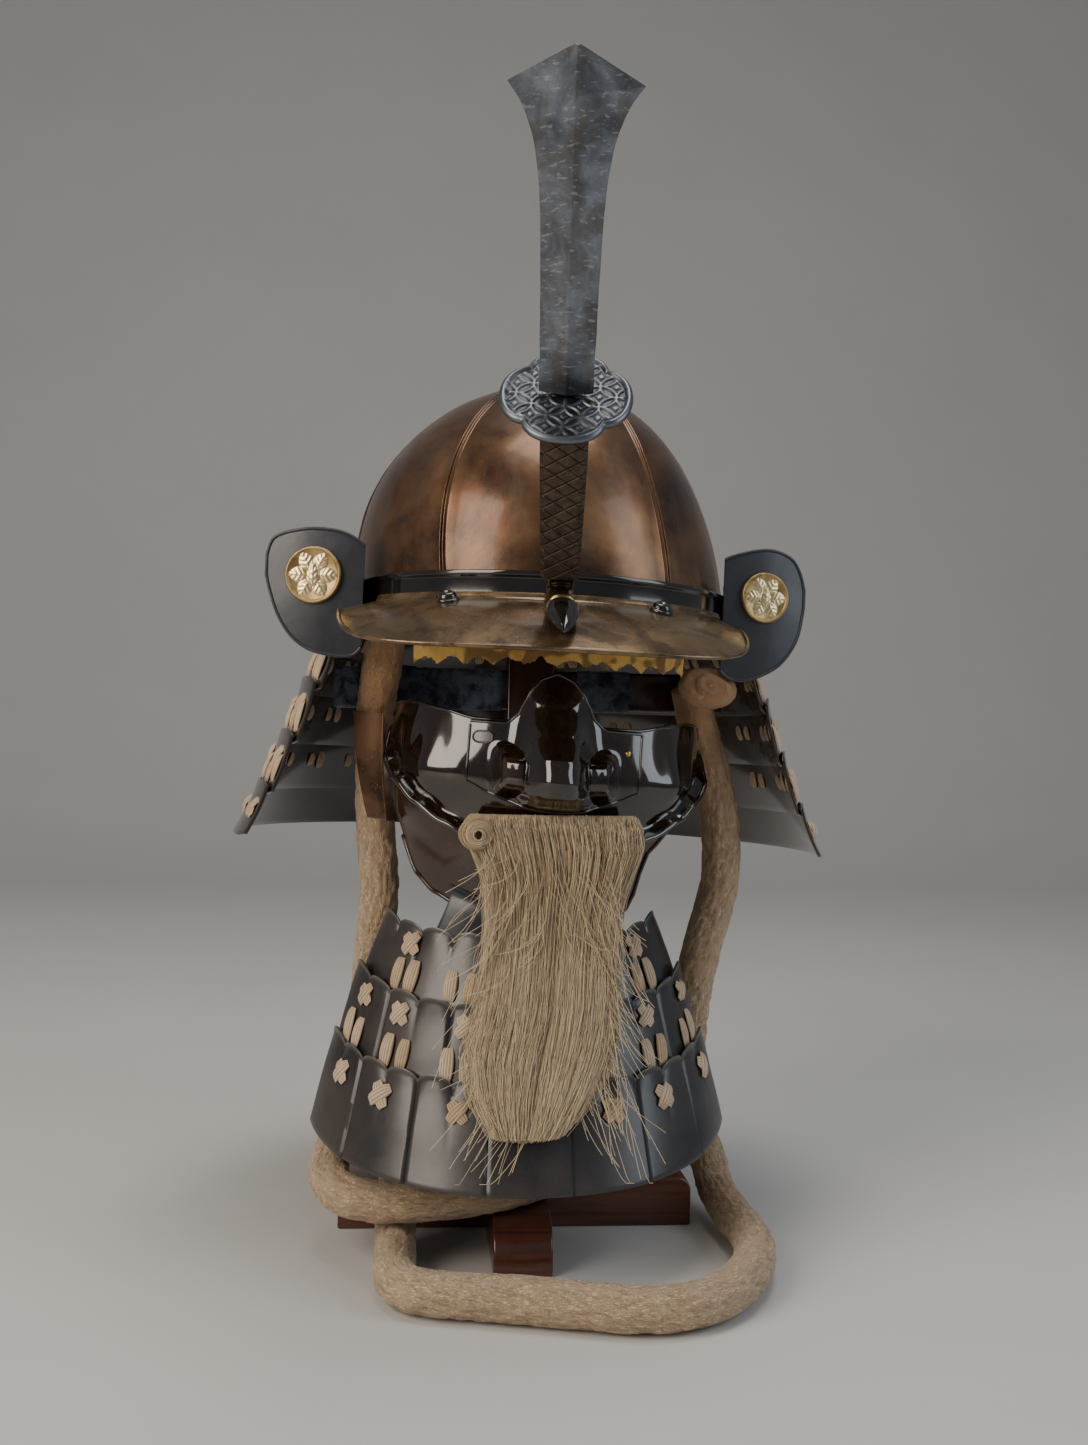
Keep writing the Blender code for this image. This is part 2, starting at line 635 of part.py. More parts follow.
def make_mask():
    angles = [lerp(-CHEEK_SPAN, CHEEK_SPAN, i / 22) for i in range(23)]
    sheet("mask_cheeks", [cheek_line(d, 4) for d in angles], 1.8, MASK_LACQUER, MASK)
    angles = [lerp(-JAW_SPAN, JAW_SPAN, i / 18) for i in range(19)]
    sheet("mask_jaw", [jaw_line(d, 4) for d in angles], 1.6, MASK_LACQUER, MASK)
    lines = [nose_line(2.0 * i / 20 - 1, 9) for i in range(21)]
    sheet("mask_nose", lines, 1.5, MASK_LACQUER, MASK, toward_front, 50.0)
    flap, reach = [], 1.4 + GAP
    for z, x0, y0, x1, y1 in (
        (289, -110.0, -34.5, -94.5, -47.0),
        (258, -105.0, -36.5, -92.0, -48.5),
        (230, -97.0, -43.0, -87.5, -52.5),
    ):
        middle = (lerp(x0, x1, 0.5), lerp(y0, y1, 0.5), z)
        row = [(x0, y0, z), middle, (x1, y1, z), (x1 + 1.0, y1 - 4.4, z), (x1 + 2.2, y1 - 4.6, z)]
        away = (z - 230) / 12.0
        side = mask_point(-CHEEK_SPAN, z, reach + away) if z > 280 else jaw_point(-77.0, z, reach + away)
        flap.append(row + [side])
    sheet("mask_side_plate", flap, 1.4, MASK_LACQUER, MASK, toward_front)


# Throat guard: three lames with scalloped tops, hung from the jaw by a strap of leather.
THROAT = [
    # Top and foot as (half width, half depth, z in front, z at the tips), and the number of scallops.
    ((76.0, 67.0, 181.0, 190.0), (90.5, 80.5, 138.0, 150.0), 10),
    ((91.3, 81.3, 147.0, 163.0), (103.5, 93.5, 100.0, 116.0), 12),
    ((104.0, 94.0, 111.0, 127.0), (117.0, 113.0, 58.0, 74.0), 14),
]


def throat_point(level, degrees, t, scallop=0.0):
    """t is 0 at the lame's top and 1 at its foot. A scallop cuts the top edge down."""
    top, foot, _ = THROAT[level]
    a, b, z_front, z_tip = (lerp(u, v, t) for u, v in zip(top, foot))
    z = lerp(z_front, z_tip, (abs(degrees) / THROAT_SPAN) ** 2.6) - 4.2 * scallop * (1 - t) ** 3
    p = oval(a, b, degrees, z, THROAT_Y)
    p.x += THROAT_X
    return p


def make_throat_guard(per_scallop=4):
    for level, (_, _, scallops) in enumerate(THROAT):
        steps = scallops * per_scallop
        grid = []
        for i in range(steps + 1):
            degrees = lerp(-THROAT_SPAN, THROAT_SPAN, i / steps)
            dip = 1 - abs(math.sin(math.pi * i / per_scallop)) ** 0.55
            grid.append([throat_point(level, degrees, t, dip) for t in (0.0, 1.0)])
        sheet("throat_lame_%d" % (level + 1), grid, 1.5, SLATE)
    strap = []
    for i in range(9):
        degrees = lerp(-42, 28, i / 8)
        foot = through(JAW_FOOT, degrees)
        middle = MASK_PLACE @ jaw_point(degrees, foot + 1.0, 1.8 + GAP)
        side = math.atan2((middle.x - THROAT_X) / 76.2, (THROAT_Y - middle.y) / 67.1)
        low = Vector((THROAT_X + 76.2 * math.sin(side), THROAT_Y - 67.1 * math.cos(side), 171.0))
        strap.append([MASK_PLACE @ jaw_point(degrees, foot + 9.0, 1.6 + GAP), middle, low])
    sheet("throat_strap", strap, 1.2, LEATHER)


# Beard: horsehair locks fused to one backing. Rows are z, left, right, the backing's y and the depth.
BEARD = [
    (244, -36, 53, -114.0, 8), (238, -40, 56, -113.2, 16), (228, -36, 57, -113.2, 19),
    (214, -28, 52, -113.6, 17), (197, -26, 45, -115.0, 15), (183, -26, 43, -118.0, 14),
    (164, -28, 41, -126.0, 13), (147, -31, 41, -133.0, 12), (128, -37, 38, -140.0, 11),
    (110, -35, 29, -147.0, 10), (96, -29, 20, -153.0, 9), (86, -22, 8, -156.5, 6),
]


def beard_section(z, left, right, back, depth, locks=7):
    bow = 4.0 if z > 150 else 2.0
    loop = []
    for k in range(2 * locks + 1):
        u = k / (2 * locks)
        round_off = (4 * u * (1 - u)) ** 0.35
        ridge = 1.6 if k % 2 else 0.0
        stand = depth * round_off + ridge if 0 < u < 1 else 0.6
        loop.append((lerp(left, right, u), back + bow * (2 * u - 1) ** 2 - stand, z))
    for k in range(7, 0, -1):
        u = k / 8
        loop.append((lerp(left, right, u), back + bow * (2 * u - 1) ** 2, z))
    return loop


# Chin cord: down the left side, folded in front of the stand, round behind the post on the plank, along
# the floor in front, and up the right side, where its end is knotted under the helmet's rim.
CORD_ROUTE = [
    (-80, -48, 347), (-82, -42, 326), (-85, -30, 306), (-86, -24, 288), (-86, -22, 256), (-85, -22, 228),
    (-82, -23, 196), (-84, -24, 164), (-87, -21, 128), (-90, -18, 96), (-94, -26, 70), (-103, -44, 52),
    (-106, -68, 42), (-94, -88, 37), (-70, -95, 36), (-44, -95, 37.5), (-16, -90, 40), (8, -72, 40),
    (29, -50, 39.9), (39, -18, 39.9), (38, 16, 39.9), (12, 35, 39.9), (-20, 35, 39.9), (-46, 22, 39.9),
    (-60, -8, 41), (-66, -34, 44), (-68, -54, 30), (-69, -70, 14), (-69, -90, 12), (-69, -118, 12), (-68, -141, 12),
    (-57, -156, 12), (-34, -163, 12), (-6, -169, 12), (24, -177, 12), (52, -183, 12), (80, -176, 12),
    (104, -152, 12), (120, -118, 12), (125, -84, 12), (122, -50, 13), (120, -18, 17), (118, 6, 32),
    (108, 12, 50), (101, -8, 76), (99, -26, 106), (99, -36, 134), (105, -37, 165), (114, -36, 200),
    (114, -35, 232), (109, -33, 262), (103, -31, 282), (98, -35, 297), (94, -39.6, 313),
]


def smooth_route(knots, steps=8):
    """A Catmull-Rom curve through the knots."""
    p = [Vector(k) for k in knots]
    fine = []
    for i in range(len(p) - 1):
        a, b, c, d = p[max(i - 1, 0)], p[i], p[i + 1], p[min(i + 2, len(p) - 1)]
        for k in range(steps):
            t = k / steps
            curve = (2 * b) + (c - a) * t + (2 * a - 5 * b + 4 * c - d) * t * t + (3 * b - a - 3 * c + d) * t**3
            fine.append(0.5 * curve)
    return fine + [p[-1]]


def evenly(fine, step):
    """Points along a fine line at even spacing close to the step."""
    total = sum((b - a).length for a, b in zip(fine, fine[1:]))
    count = max(2, round(total / step))
    points, walked, k = [fine[0]], 0.0, 0
    for n in range(1, count):
        want = total * n / count
        while walked + (fine[k + 1] - fine[k]).length < want:
            walked += (fine[k + 1] - fine[k]).length
            k += 1
        part = (want - walked) / (fine[k + 1] - fine[k]).length
        points.append(fine[k].lerp(fine[k + 1], part))
    return points + [fine[-1]]


def make_cord():
    data = bpy.data.curves.new("helmet_cord", "CURVE")
    data.dimensions = "3D"
    data.bevel_depth = CORD_D / 2 * MM
    data.bevel_resolution = 2
    data.use_fill_caps = True
    points = evenly(smooth_route(CORD_ROUTE), CORD_STEP)
    spline = data.splines.new("POLY")
    spline.points.add(len(points) - 1)
    for spot, p in zip(spline.points, points):
        spot.co = (*(p * MM), 1.0)
    put(bpy.data.objects.new("helmet_cord", data), CREPE)
    knot = [(0, 9.4), (9, 8), (15, 4), (17, 0), (16, -3), (10, -7.6), (0, -9)]
    place = move(99.5, -60.5, 312.2) @ turn("Y", 8.0) @ turn("X", 80.0) @ Matrix.Diagonal((1.0, 0.70, 1.0, 1.0))
    turned("cord_knot", knot, CREPE, None, place, 14)


make_bowl()
make_peak()
make_crest()
make_wings()
make_neck_guard()
make_lining()
make_stand()
make_mask()
make_throat_guard()
loft("beard", [beard_section(*row) for row in BEARD], HAIR, sharp=30.0)
make_cord()
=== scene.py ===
"""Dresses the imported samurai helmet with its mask, throat guard, beard, chin cord and wooden stand.

Shapes are laid out in millimetres, as in the part's source, and reach Blender in metres.
"""

import math

import bmesh
import bpy
import numpy as np
from mathutils import Matrix, Vector, noise


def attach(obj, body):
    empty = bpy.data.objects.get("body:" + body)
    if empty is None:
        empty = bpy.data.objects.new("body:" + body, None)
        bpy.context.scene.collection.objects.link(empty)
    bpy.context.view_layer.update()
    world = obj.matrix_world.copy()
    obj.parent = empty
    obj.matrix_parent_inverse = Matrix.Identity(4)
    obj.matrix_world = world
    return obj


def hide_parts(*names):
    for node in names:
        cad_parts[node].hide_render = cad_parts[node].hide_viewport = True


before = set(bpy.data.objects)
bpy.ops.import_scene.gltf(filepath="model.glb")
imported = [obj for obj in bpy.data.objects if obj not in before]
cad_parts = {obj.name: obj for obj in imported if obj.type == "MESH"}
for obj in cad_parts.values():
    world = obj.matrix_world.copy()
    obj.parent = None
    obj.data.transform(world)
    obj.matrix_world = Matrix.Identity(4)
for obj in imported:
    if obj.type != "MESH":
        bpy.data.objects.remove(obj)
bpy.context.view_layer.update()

bl_info = {
    "name": "Samurai helmet on its stand",
    "version": (1, 0, 0),
    "blender": (4, 5, 0),
    "location": "View3D > Sidebar > Helmet",
    "description": "Builds the pieces of an old iron helmet with mask, throat guard and crest",
    "category": "Object",
}

MM = 0.001


# Settings
class HelmetSizes(bpy.types.PropertyGroup):
    rib_height: bpy.props.FloatProperty(
        name="Rib height", description="How far the plates' raised edges stand up", default=0.0013,
        min=0.0, max=0.003, unit="LENGTH",
    )
    hammering: bpy.props.FloatProperty(
        name="Hammering", description="Depth of the hammer marks in the iron", default=0.00022,
        min=0.0, max=0.001, unit="LENGTH",
    )
    bead: bpy.props.FloatProperty(
        name="Rolled edge", description="Radius of the rolled edges", default=0.0011,
        min=0.0004, max=0.002, unit="LENGTH",
    )
    relief: bpy.props.FloatProperty(
        name="Relief", description="Depth of the guard's linked-circle relief", default=0.0007,
        min=0.0, max=0.002, unit="LENGTH",
    )
    lace_width: bpy.props.FloatProperty(
        name="Lace width", description="Width of one silk lace", default=0.0078,
        min=0.003, max=0.012, unit="LENGTH",
    )
    hair_strands: bpy.props.IntProperty(
        name="Hair strands", description="Strands in the beard", default=5400, min=500, max=9000,
    )
    hair_width: bpy.props.FloatProperty(
        name="Hair width", description="Thickness of one strand of horsehair", default=0.00032,
        min=0.0001, max=0.001, unit="LENGTH",
    )
    wrinkle: bpy.props.FloatProperty(
        name="Cord wrinkles", description="Depth of the crepe cord's lengthwise wrinkles", default=0.0008,
        min=0.0, max=0.002, unit="LENGTH",
    )
    seed: bpy.props.IntProperty(
        name="Seed", description="Seed for hair, laces and wear", default=7, min=0, max=999,
    )


class HelmetColours(bpy.types.PropertyGroup):
    iron_warm: bpy.props.FloatVectorProperty(
        name="Warm iron", description="Rubbed places of the bowl", subtype="COLOR", size=3,
        default=(0.235, 0.120, 0.052),
    )
    iron_dark: bpy.props.FloatVectorProperty(
        name="Dark iron", description="Bowl where the lacquer is whole", subtype="COLOR", size=3,
        default=(0.048, 0.026, 0.016),
    )
    mask: bpy.props.FloatVectorProperty(
        name="Mask lacquer", description="Black-brown lacquer of the mask", subtype="COLOR", size=3,
        default=(0.020, 0.0105, 0.006),
    )
    silk: bpy.props.FloatVectorProperty(
        name="Lace silk", description="Faded silk of the laces", subtype="COLOR", size=3,
        default=(0.66, 0.47, 0.29),
    )
    crepe: bpy.props.FloatVectorProperty(
        name="Cord crepe", description="Crepe of the chin cord", subtype="COLOR", size=3,
        default=(0.70, 0.50, 0.30),
    )
    hair: bpy.props.FloatVectorProperty(
        name="Horsehair", description="Pale horsehair of the beard", subtype="COLOR", size=3,
        default=(0.70, 0.56, 0.36),
    )
    floor: bpy.props.FloatVectorProperty(
        name="Floor", description="Pale studio floor", subtype="COLOR", size=3,
        default=(0.62, 0.61, 0.59),
    )


class HelmetStage(bpy.types.PropertyGroup):
    key: bpy.props.FloatProperty(
        name="Key light", description="Power of the big soft light at the left", default=26.0,
        min=0.0, max=500.0, unit="POWER",
    )
    fill: bpy.props.FloatProperty(
        name="Fill light", description="Power of the soft light at the right", default=9.0,
        min=0.0, max=500.0, unit="POWER",
    )


def sizes():
    return bpy.context.scene.helmet_sizes


def colours():
    return bpy.context.scene.helmet_colours


# The part's own numbers, repeated from its source
HELMET_AT = (9.0, 0.0, 363.0)
HELMET_ROLL, HELMET_PITCH = 1.6, 1.8
BOWL_A, BOWL_B, BOWL_H, BOWL_T, BOWL_SWAY, BOWL_TOP = 107.5, 122.0, 124.0, 2.2, 4.0, 0.94
SEAMS = (-34.0, 34.0, 90.0, 146.0, 214.0, 270.0, 326.0)
PLATE_NAMES = ("front", "front_right", "back_right", "back", "back_left", "front_left")
GAP, RIB_W, BAND_TOP, BAND_FOOT, LAME_T = 0.3, 1.9, 1.6, -12.0, 1.4
PEAK_SPAN, PEAK_HALF, PEAK_SHIFT, PEAK_T = 56.0, 107.0, -6.0, 1.8
CREST_LEAN, CREST_TWIST, CREST_AT = 42.0, -6.5, (-3.3, -150.0, -1.1)
HILT_TOP, GUARD_AT, GUARD_TILT, GUARD_A, GUARD_B, BLADE_TIP_W = 95.8, 98.0, 8.0, 30.6, 33.0, 55.0
MASK_X, MASK_ROLL, MASK_PIVOT, MASK_A, MASK_B, MASK_Y = 8.0, 3.6, 240.0, 88.0, 70.0, -38.0
CHEEK_SPAN, JAW_SPAN = 84.0, 78.0
THROAT_X, THROAT_Y, THROAT_SPAN = -3.0, -45.0, 76.0
CORD_D = 23.0


# Frames and lines
def turn(axis, degrees):
    return Matrix.Rotation(math.radians(degrees), 4, axis)


def move(x, y, z):
    return Matrix.Translation((x, y, z))


def facing(at, normal, up=None):
    """A frame at a point whose Z runs along the normal; its X stays level, or its Y runs towards up."""
    z = Vector(normal).normalized()
    if up is None:
        x = (Vector((1, 0, 0)) - z * z.x).normalized()
        return move(*at) @ Matrix((x, z.cross(x), z)).transposed().to_4x4()
    y = Vector(up)
    y = (y - z * y.dot(z)).normalized()
    return move(*at) @ Matrix((y.cross(z), y, z)).transposed().to_4x4()


def lerp(a, b, t):
    return a + (b - a) * t


def through(knots, x):
    if x <= knots[0][0]:
        return knots[0][1]
    for (x0, v0), (x1, v1) in zip(knots, knots[1:]):
        if x <= x1:
            t = (x - x0) / (x1 - x0)
            return lerp(v0, v1, 0.5 * (t + t * t * (3 - 2 * t)))
    return knots[-1][1]


def oval(a, b, degrees, z=0.0, y0=0.0):
    t = math.radians(degrees)
    return Vector((a * math.sin(t), y0 - b * math.cos(t), z))


def bump(x, centre, width, power=2):
    return math.exp(-(abs((x - centre) / width) ** power))


def smooth_route(knots, steps=8):
    """A Catmull-Rom curve through the knots."""
    p = [Vector(k) for k in knots]
    fine = []
    for i in range(len(p) - 1):
        a, b, c, d = p[max(i - 1, 0)], p[i], p[i + 1], p[min(i + 2, len(p) - 1)]
        for k in range(steps):
            t = k / steps
            curve = (2 * b) + (c - a) * t + (2 * a - 5 * b + 4 * c - d) * t * t + (3 * b - a - 3 * c + d) * t**3
            fine.append(0.5 * curve)
    return fine + [p[-1]]


def evenly(fine, step):
    """Points along a fine line at even spacing close to the step."""
    total = sum((b - a).length for a, b in zip(fine, fine[1:]))
    count = max(2, round(total / step))
    points, walked, k = [fine[0]], 0.0, 0
    for n in range(1, count):
        want = total * n / count
        while walked + (fine[k + 1] - fine[k]).length < want:
            walked += (fine[k + 1] - fine[k]).length
            k += 1
        part = (want - walked) / (fine[k + 1] - fine[k]).length
        points.append(fine[k].lerp(fine[k + 1], part))
    return points + [fine[-1]]


def refined(grid, along, across):
    """A coarse grid of points made finer by smooth curves in both directions."""
    rows = [smooth_route(row, across) for row in grid]
    columns = [smooth_route(column, along) for column in zip(*rows)]
    return [list(row) for row in zip(*columns)]


HELMET = move(*HELMET_AT) @ turn("Y", HELMET_ROLL) @ turn("X", -HELMET_PITCH)
MASK = move(MASK_X, 0, MASK_PIVOT) @ turn("Y", MASK_ROLL) @ move(0, 0, -MASK_PIVOT)
LEAN = math.radians(90.0 - CREST_LEAN)
CREST = HELMET @ facing(CREST_AT, (-0.077, -math.cos(LEAN), math.sin(LEAN))) @ turn("Z", CREST_TWIST)
HERE = Matrix.Identity(4)


# Mesh tools
def skin(bm, grid, closed=False, uv=None, material=0):
    """Quads over a grid of points. closed joins each row's last point to its first. uv gives (u, v)."""
    layer = bm.loops.layers.uv.verify() if uv else None
    rows = [[bm.verts.new(p) for p in row] for row in grid]
    count = len(rows[0])
    for i in range(len(rows) - 1):
        for j in range(count if closed else count - 1):
            k = (j + 1) % count
            corners = [(i, j, j), (i + 1, j, j), (i + 1, k, j + 1), (i, k, j + 1)]
            face = bm.faces.new([rows[a][b] for a, b, _ in corners])
            face.material_index = material
            if layer:
                for loop, (a, _, c) in zip(face.loops, corners):
                    loop[layer].uv = uv(a, c)
    return rows


def lid(bm, loop, material=0):
    """Closes a ring of points with a fan round its middle."""
    middle = bm.verts.new(sum((v.co for v in loop), Vector()) / len(loop))
    for a, b in zip(loop, loop[1:] + loop[:1]):
        bm.faces.new((a, b, middle)).material_index = material


def tube(bm, points, radius, sides=8, closed=False, material=0, shape=None):
    """A round bead along a line. radius may be a number or a function of the share of the way along."""
    points = [Vector(p) for p in points]
    count = len(points)
    rings, side = [], None
    for i, p in enumerate(points):
        before = points[(i - 1) % count] if closed or i else p
        after = points[(i + 1) % count] if closed or i < count - 1 else p
        ahead = (after - before).normalized()
        if side is None:
            side = ahead.orthogonal().normalized()
        side = (side - ahead * side.dot(ahead)).normalized()
        other = ahead.cross(side)
        r = radius(i / (count - 1)) if callable(radius) else radius
        ring = []
        for k in range(sides):
            a = 2 * math.pi * k / sides
            reach = r * (shape(i, k) if shape else 1.0)
            ring.append(p + (side * math.cos(a) + other * math.sin(a)) * reach)
        rings.append(ring)
    if closed:
        rings.append(rings[0])
    rows = skin(bm, rings, closed=True, material=material)
    if not closed:
        lid(bm, rows[0], material)
        lid(bm, rows[-1][::-1], material)
    return rows


def turned(bm, profile, steps=48, place=HERE, material=0):
    """A profile of (radius, height) turned about Z, closed where it meets the axis."""
    rings = []
    for r, z in profile:
        if r > 0:
            spin = [2 * math.pi * k / steps for k in range(steps)]
            rings.append([place @ Vector((r * math.cos(a), r * math.sin(a), z)) for a in spin])
    rows = skin(bm, rings, closed=True, material=material)
    lid(bm, rows[0], material)
    lid(bm, rows[-1][::-1], material)


def scaled(bm, place=HERE):
    """Puts millimetre points in place and turns them to metres."""
    for v in bm.verts:
        v.co = (place @ v.co) * MM


def made(name, bm, mats, replaces=(), place=HERE, smooth=35.0, recalc=True, merge=0.0005):
    """Turns the mesh into a finished piece that rides on the part's one body."""
    scaled(bm, place)
    if merge:
        bmesh.ops.remove_doubles(bm, verts=bm.verts, dist=merge * MM)
    if recalc:
        bmesh.ops.recalc_face_normals(bm, faces=bm.faces)
    mesh = bpy.data.meshes.new(name)
    bm.to_mesh(mesh)
    bm.free()
    return finished(name, mesh, mats, replaces, smooth)


def finished(name, mesh, mats, replaces=(), smooth=35.0):
    mesh.materials.clear()
    for mat in mats if isinstance(mats, (list, tuple)) else [mats]:
        mesh.materials.append(mat)
    mesh.shade_smooth()
    if smooth:
        mesh.set_sharp_from_angle(angle=math.radians(smooth))
    mesh.name = name
    obj = bpy.data.objects.new(name, mesh)
    bpy.context.scene.collection.objects.link(obj)
    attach(obj, "root")
    if replaces:
        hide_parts(*([replaces] if isinstance(replaces, str) else replaces))
    return obj


def applied(obj):
    """The object's mesh with its modifiers, as a plain mesh; the object itself is removed."""
    graph = bpy.context.evaluated_depsgraph_get()
    mesh = bpy.data.meshes.new_from_object(obj.evaluated_get(graph))
    old = obj.data
    bpy.data.objects.remove(obj, do_unlink=True)
    if isinstance(old, bpy.types.Mesh) and not old.users:
        bpy.data.meshes.remove(old)
    return mesh


def plate(name, grid, thick, mats, outward, replaces=(), place=HERE, edge=0.35, beads=(), smooth=40.0):
    """A sheet of metal or leather: a grid made solid on its inner side, its edges broken, with beads on it."""
    bm = bmesh.new()
    skin(bm, grid)
    bm.normal_update()
    bm.faces.ensure_lookup_table()
    middle = bm.faces[len(bm.faces) // 2]
    if middle.normal.dot(outward(middle.calc_center_median())) < 0:
        bmesh.ops.reverse_faces(bm, faces=bm.faces)
    scaled(bm, place)
    mesh = bpy.data.meshes.new(name)
    bm.to_mesh(mesh)
    bm.free()
    for mat in mats:
        mesh.materials.append(mat)
    rough = bpy.data.objects.new(name + "_blank", mesh)
    bpy.context.scene.collection.objects.link(rough)
    solid = rough.modifiers.new("thickness", "SOLIDIFY")
    solid.thickness = thick * MM
    solid.offset = -1.0
    solid.use_even_offset = True
    solid.material_offset_rim = 1 if len(mats) > 1 else 0
    if edge:
        broken = rough.modifiers.new("edge", "BEVEL")
        broken.width = edge * MM
        broken.segments = 2
        broken.limit_method = "ANGLE"
        broken.angle_limit = math.radians(60.0)
        broken.use_clamp_overlap = True
    mesh = applied(rough)
    if beads:
        bm = bmesh.new()
        for line, radius, closed, index in beads:
            tube(bm, line, radius, 8, closed, index)
        scaled(bm, place)
        bmesh.ops.recalc_face_normals(bm, faces=bm.faces)
        bm.from_mesh(mesh)
        bm.to_mesh(mesh)
        bm.free()
    return finished(name, mesh, mats, replaces, smooth)


def level_out(p):
    return Vector((p.x, p.y, 0.0))


def toward_front(_):
    return Vector((0, -1, 0))


# Shader tools
def feed(tree, socket, value):
    if isinstance(value, bpy.types.NodeSocket):
        tree.links.new(value, socket)
    elif hasattr(value, "__len__") and len(value) == 3 and len(socket.default_value) == 4:
        socket.default_value = (*value, 1.0)
    else:
        socket.default_value = value


def add(tree, kind, values=None, **settings):
    node = tree.nodes.new(kind)
    for key, value in settings.items():
        setattr(node, key, value)
    for key, value in (values or {}).items():
        feed(tree, node.inputs[key], value)
    return node


def blend(tree, factor, a, b, how="MIX"):
    node = add(tree, "ShaderNodeMix", data_type="RGBA", blend_type=how)
    feed(tree, node.inputs[0], factor)
    feed(tree, node.inputs[6], a)
    feed(tree, node.inputs[7], b)
    return node.outputs[2]


def maths(tree, operation, a, b=0.0, clamp=False):
    node = add(tree, "ShaderNodeMath", operation=operation, use_clamp=clamp)
    feed(tree, node.inputs[0], a)
    feed(tree, node.inputs[1], b)
    return node.outputs[0]


def remap(tree, value, low, high, to_low=0.0, to_high=1.0):
    return add(tree, "ShaderNodeMapRange", {0: value, 1: low, 2: high, 3: to_low, 4: to_high}).outputs[0]


def stretched(tree, vector, scale, angle=(0, 0, 0)):
    return add(tree, "ShaderNodeMapping", {"Vector": vector, "Scale": scale, "Rotation": angle}).outputs[0]


def effect(name, inputs, outputs, wire):
    """A shared node group. wire(tree, inputs) returns its output sockets in order."""
    tree = bpy.data.node_groups.get(name)
    if tree:
        return tree
    tree = bpy.data.node_groups.new(name, "ShaderNodeTree")
    for label, kind, value in inputs:
        socket = tree.interface.new_socket(label, in_out="INPUT", socket_type="NodeSocket" + kind)
        if value is not None:
            socket.default_value = value
    for label, kind in outputs:
        tree.interface.new_socket(label, in_out="OUTPUT", socket_type="NodeSocket" + kind)
    start = tree.nodes.new("NodeGroupInput").outputs
    end = tree.nodes.new("NodeGroupOutput").inputs
    for socket, value in zip(end, wire(tree, start)):
        tree.links.new(value, socket)
    return tree


def use(tree, group, values):
    node = tree.nodes.new("ShaderNodeGroup")
    node.node_tree = group
    for key, value in values.items():
        feed(tree, node.inputs[key], value)
    return node.outputs


def patches():
    """Clouded wear: a soft-edged mask of noise."""

    def wire(tree, start):
        cloud = add(tree, "ShaderNodeTexNoise", {
            "Vector": start["Vector"], "Scale": start["Scale"], "Detail": 6.0, "Roughness": 0.62, "Distortion": 0.5,
        }).outputs[0]
        low = maths(tree, "SUBTRACT", 0.5, start["Softness"])
        high = maths(tree, "ADD", 0.5, start["Softness"])
        shifted = maths(tree, "ADD", cloud, start["Amount"])
        return [remap(tree, shifted, low, high)]

    return effect("clouded wear", [
        ("Vector", "Vector", None), ("Scale", "Float", 30.0), ("Softness", "Float", 0.2), ("Amount", "Float", 0.0),
    ], [("Mask", "Float")], wire)


def specks():
    """Small dots scattered where a second noise allows: dust, pits, rust."""

    def wire(tree, start):
        cells = add(tree, "ShaderNodeTexVoronoi", {"Vector": start["Vector"], "Scale": start["Scale"]}).outputs[0]
        dots = remap(tree, cells, start["Size"], 0.0)
        where = add(tree, "ShaderNodeTexNoise", {
            "Vector": start["Vector"], "Scale": maths(tree, "MULTIPLY", start["Scale"], 0.23), "Detail": 2.0,
        }).outputs[0]
        allowed = remap(tree, where, 0.5, 0.62)
        return [maths(tree, "MULTIPLY", dots, allowed, clamp=True)]

    return effect("scattered specks", [
        ("Vector", "Vector", None), ("Scale", "Float", 400.0), ("Size", "Float", 0.2),
    ], [("Mask", "Float")], wire)


def grain():
    """Fine uneven height in two sizes."""

    def wire(tree, start):
        fine = add(tree, "ShaderNodeTexNoise", {
            "Vector": start["Vector"], "Scale": start["Scale"], "Detail": 4.0, "Roughness": 0.6,
        }).outputs[0]
        broad = add(tree, "ShaderNodeTexNoise", {
            "Vector": start["Vector"], "Scale": maths(tree, "MULTIPLY", start["Scale"], 0.12), "Detail": 2.0,
        }).outputs[0]
        return [maths(tree, "ADD", maths(tree, "MULTIPLY", fine, 0.35), broad)]

    return effect("fine grain", [("Vector", "Vector", None), ("Scale", "Float", 900.0)], [("Height", "Float")], wire)


def lines():
    """Thin even lines across a flat map, such as engraved strokes."""

    def wire(tree, start):
        parts = add(tree, "ShaderNodeSeparateXYZ", {0: start["Vector"]}).outputs
        slanted = maths(tree, "ADD", maths(tree, "MULTIPLY", parts[0], start["Across"]),
                        maths(tree, "MULTIPLY", parts[1], start["Along"]))
        share = maths(tree, "FRACT", slanted)
        from_middle = maths(tree, "ABSOLUTE", maths(tree, "SUBTRACT", share, 0.5))
        return [remap(tree, from_middle, start["Width"], 0.0)]

    return effect("even lines", [
        ("Vector", "Vector", None), ("Across", "Float", 1.0), ("Along", "Float", 1.0), ("Width", "Float", 0.1),
    ], [("Mask", "Float")], wire)


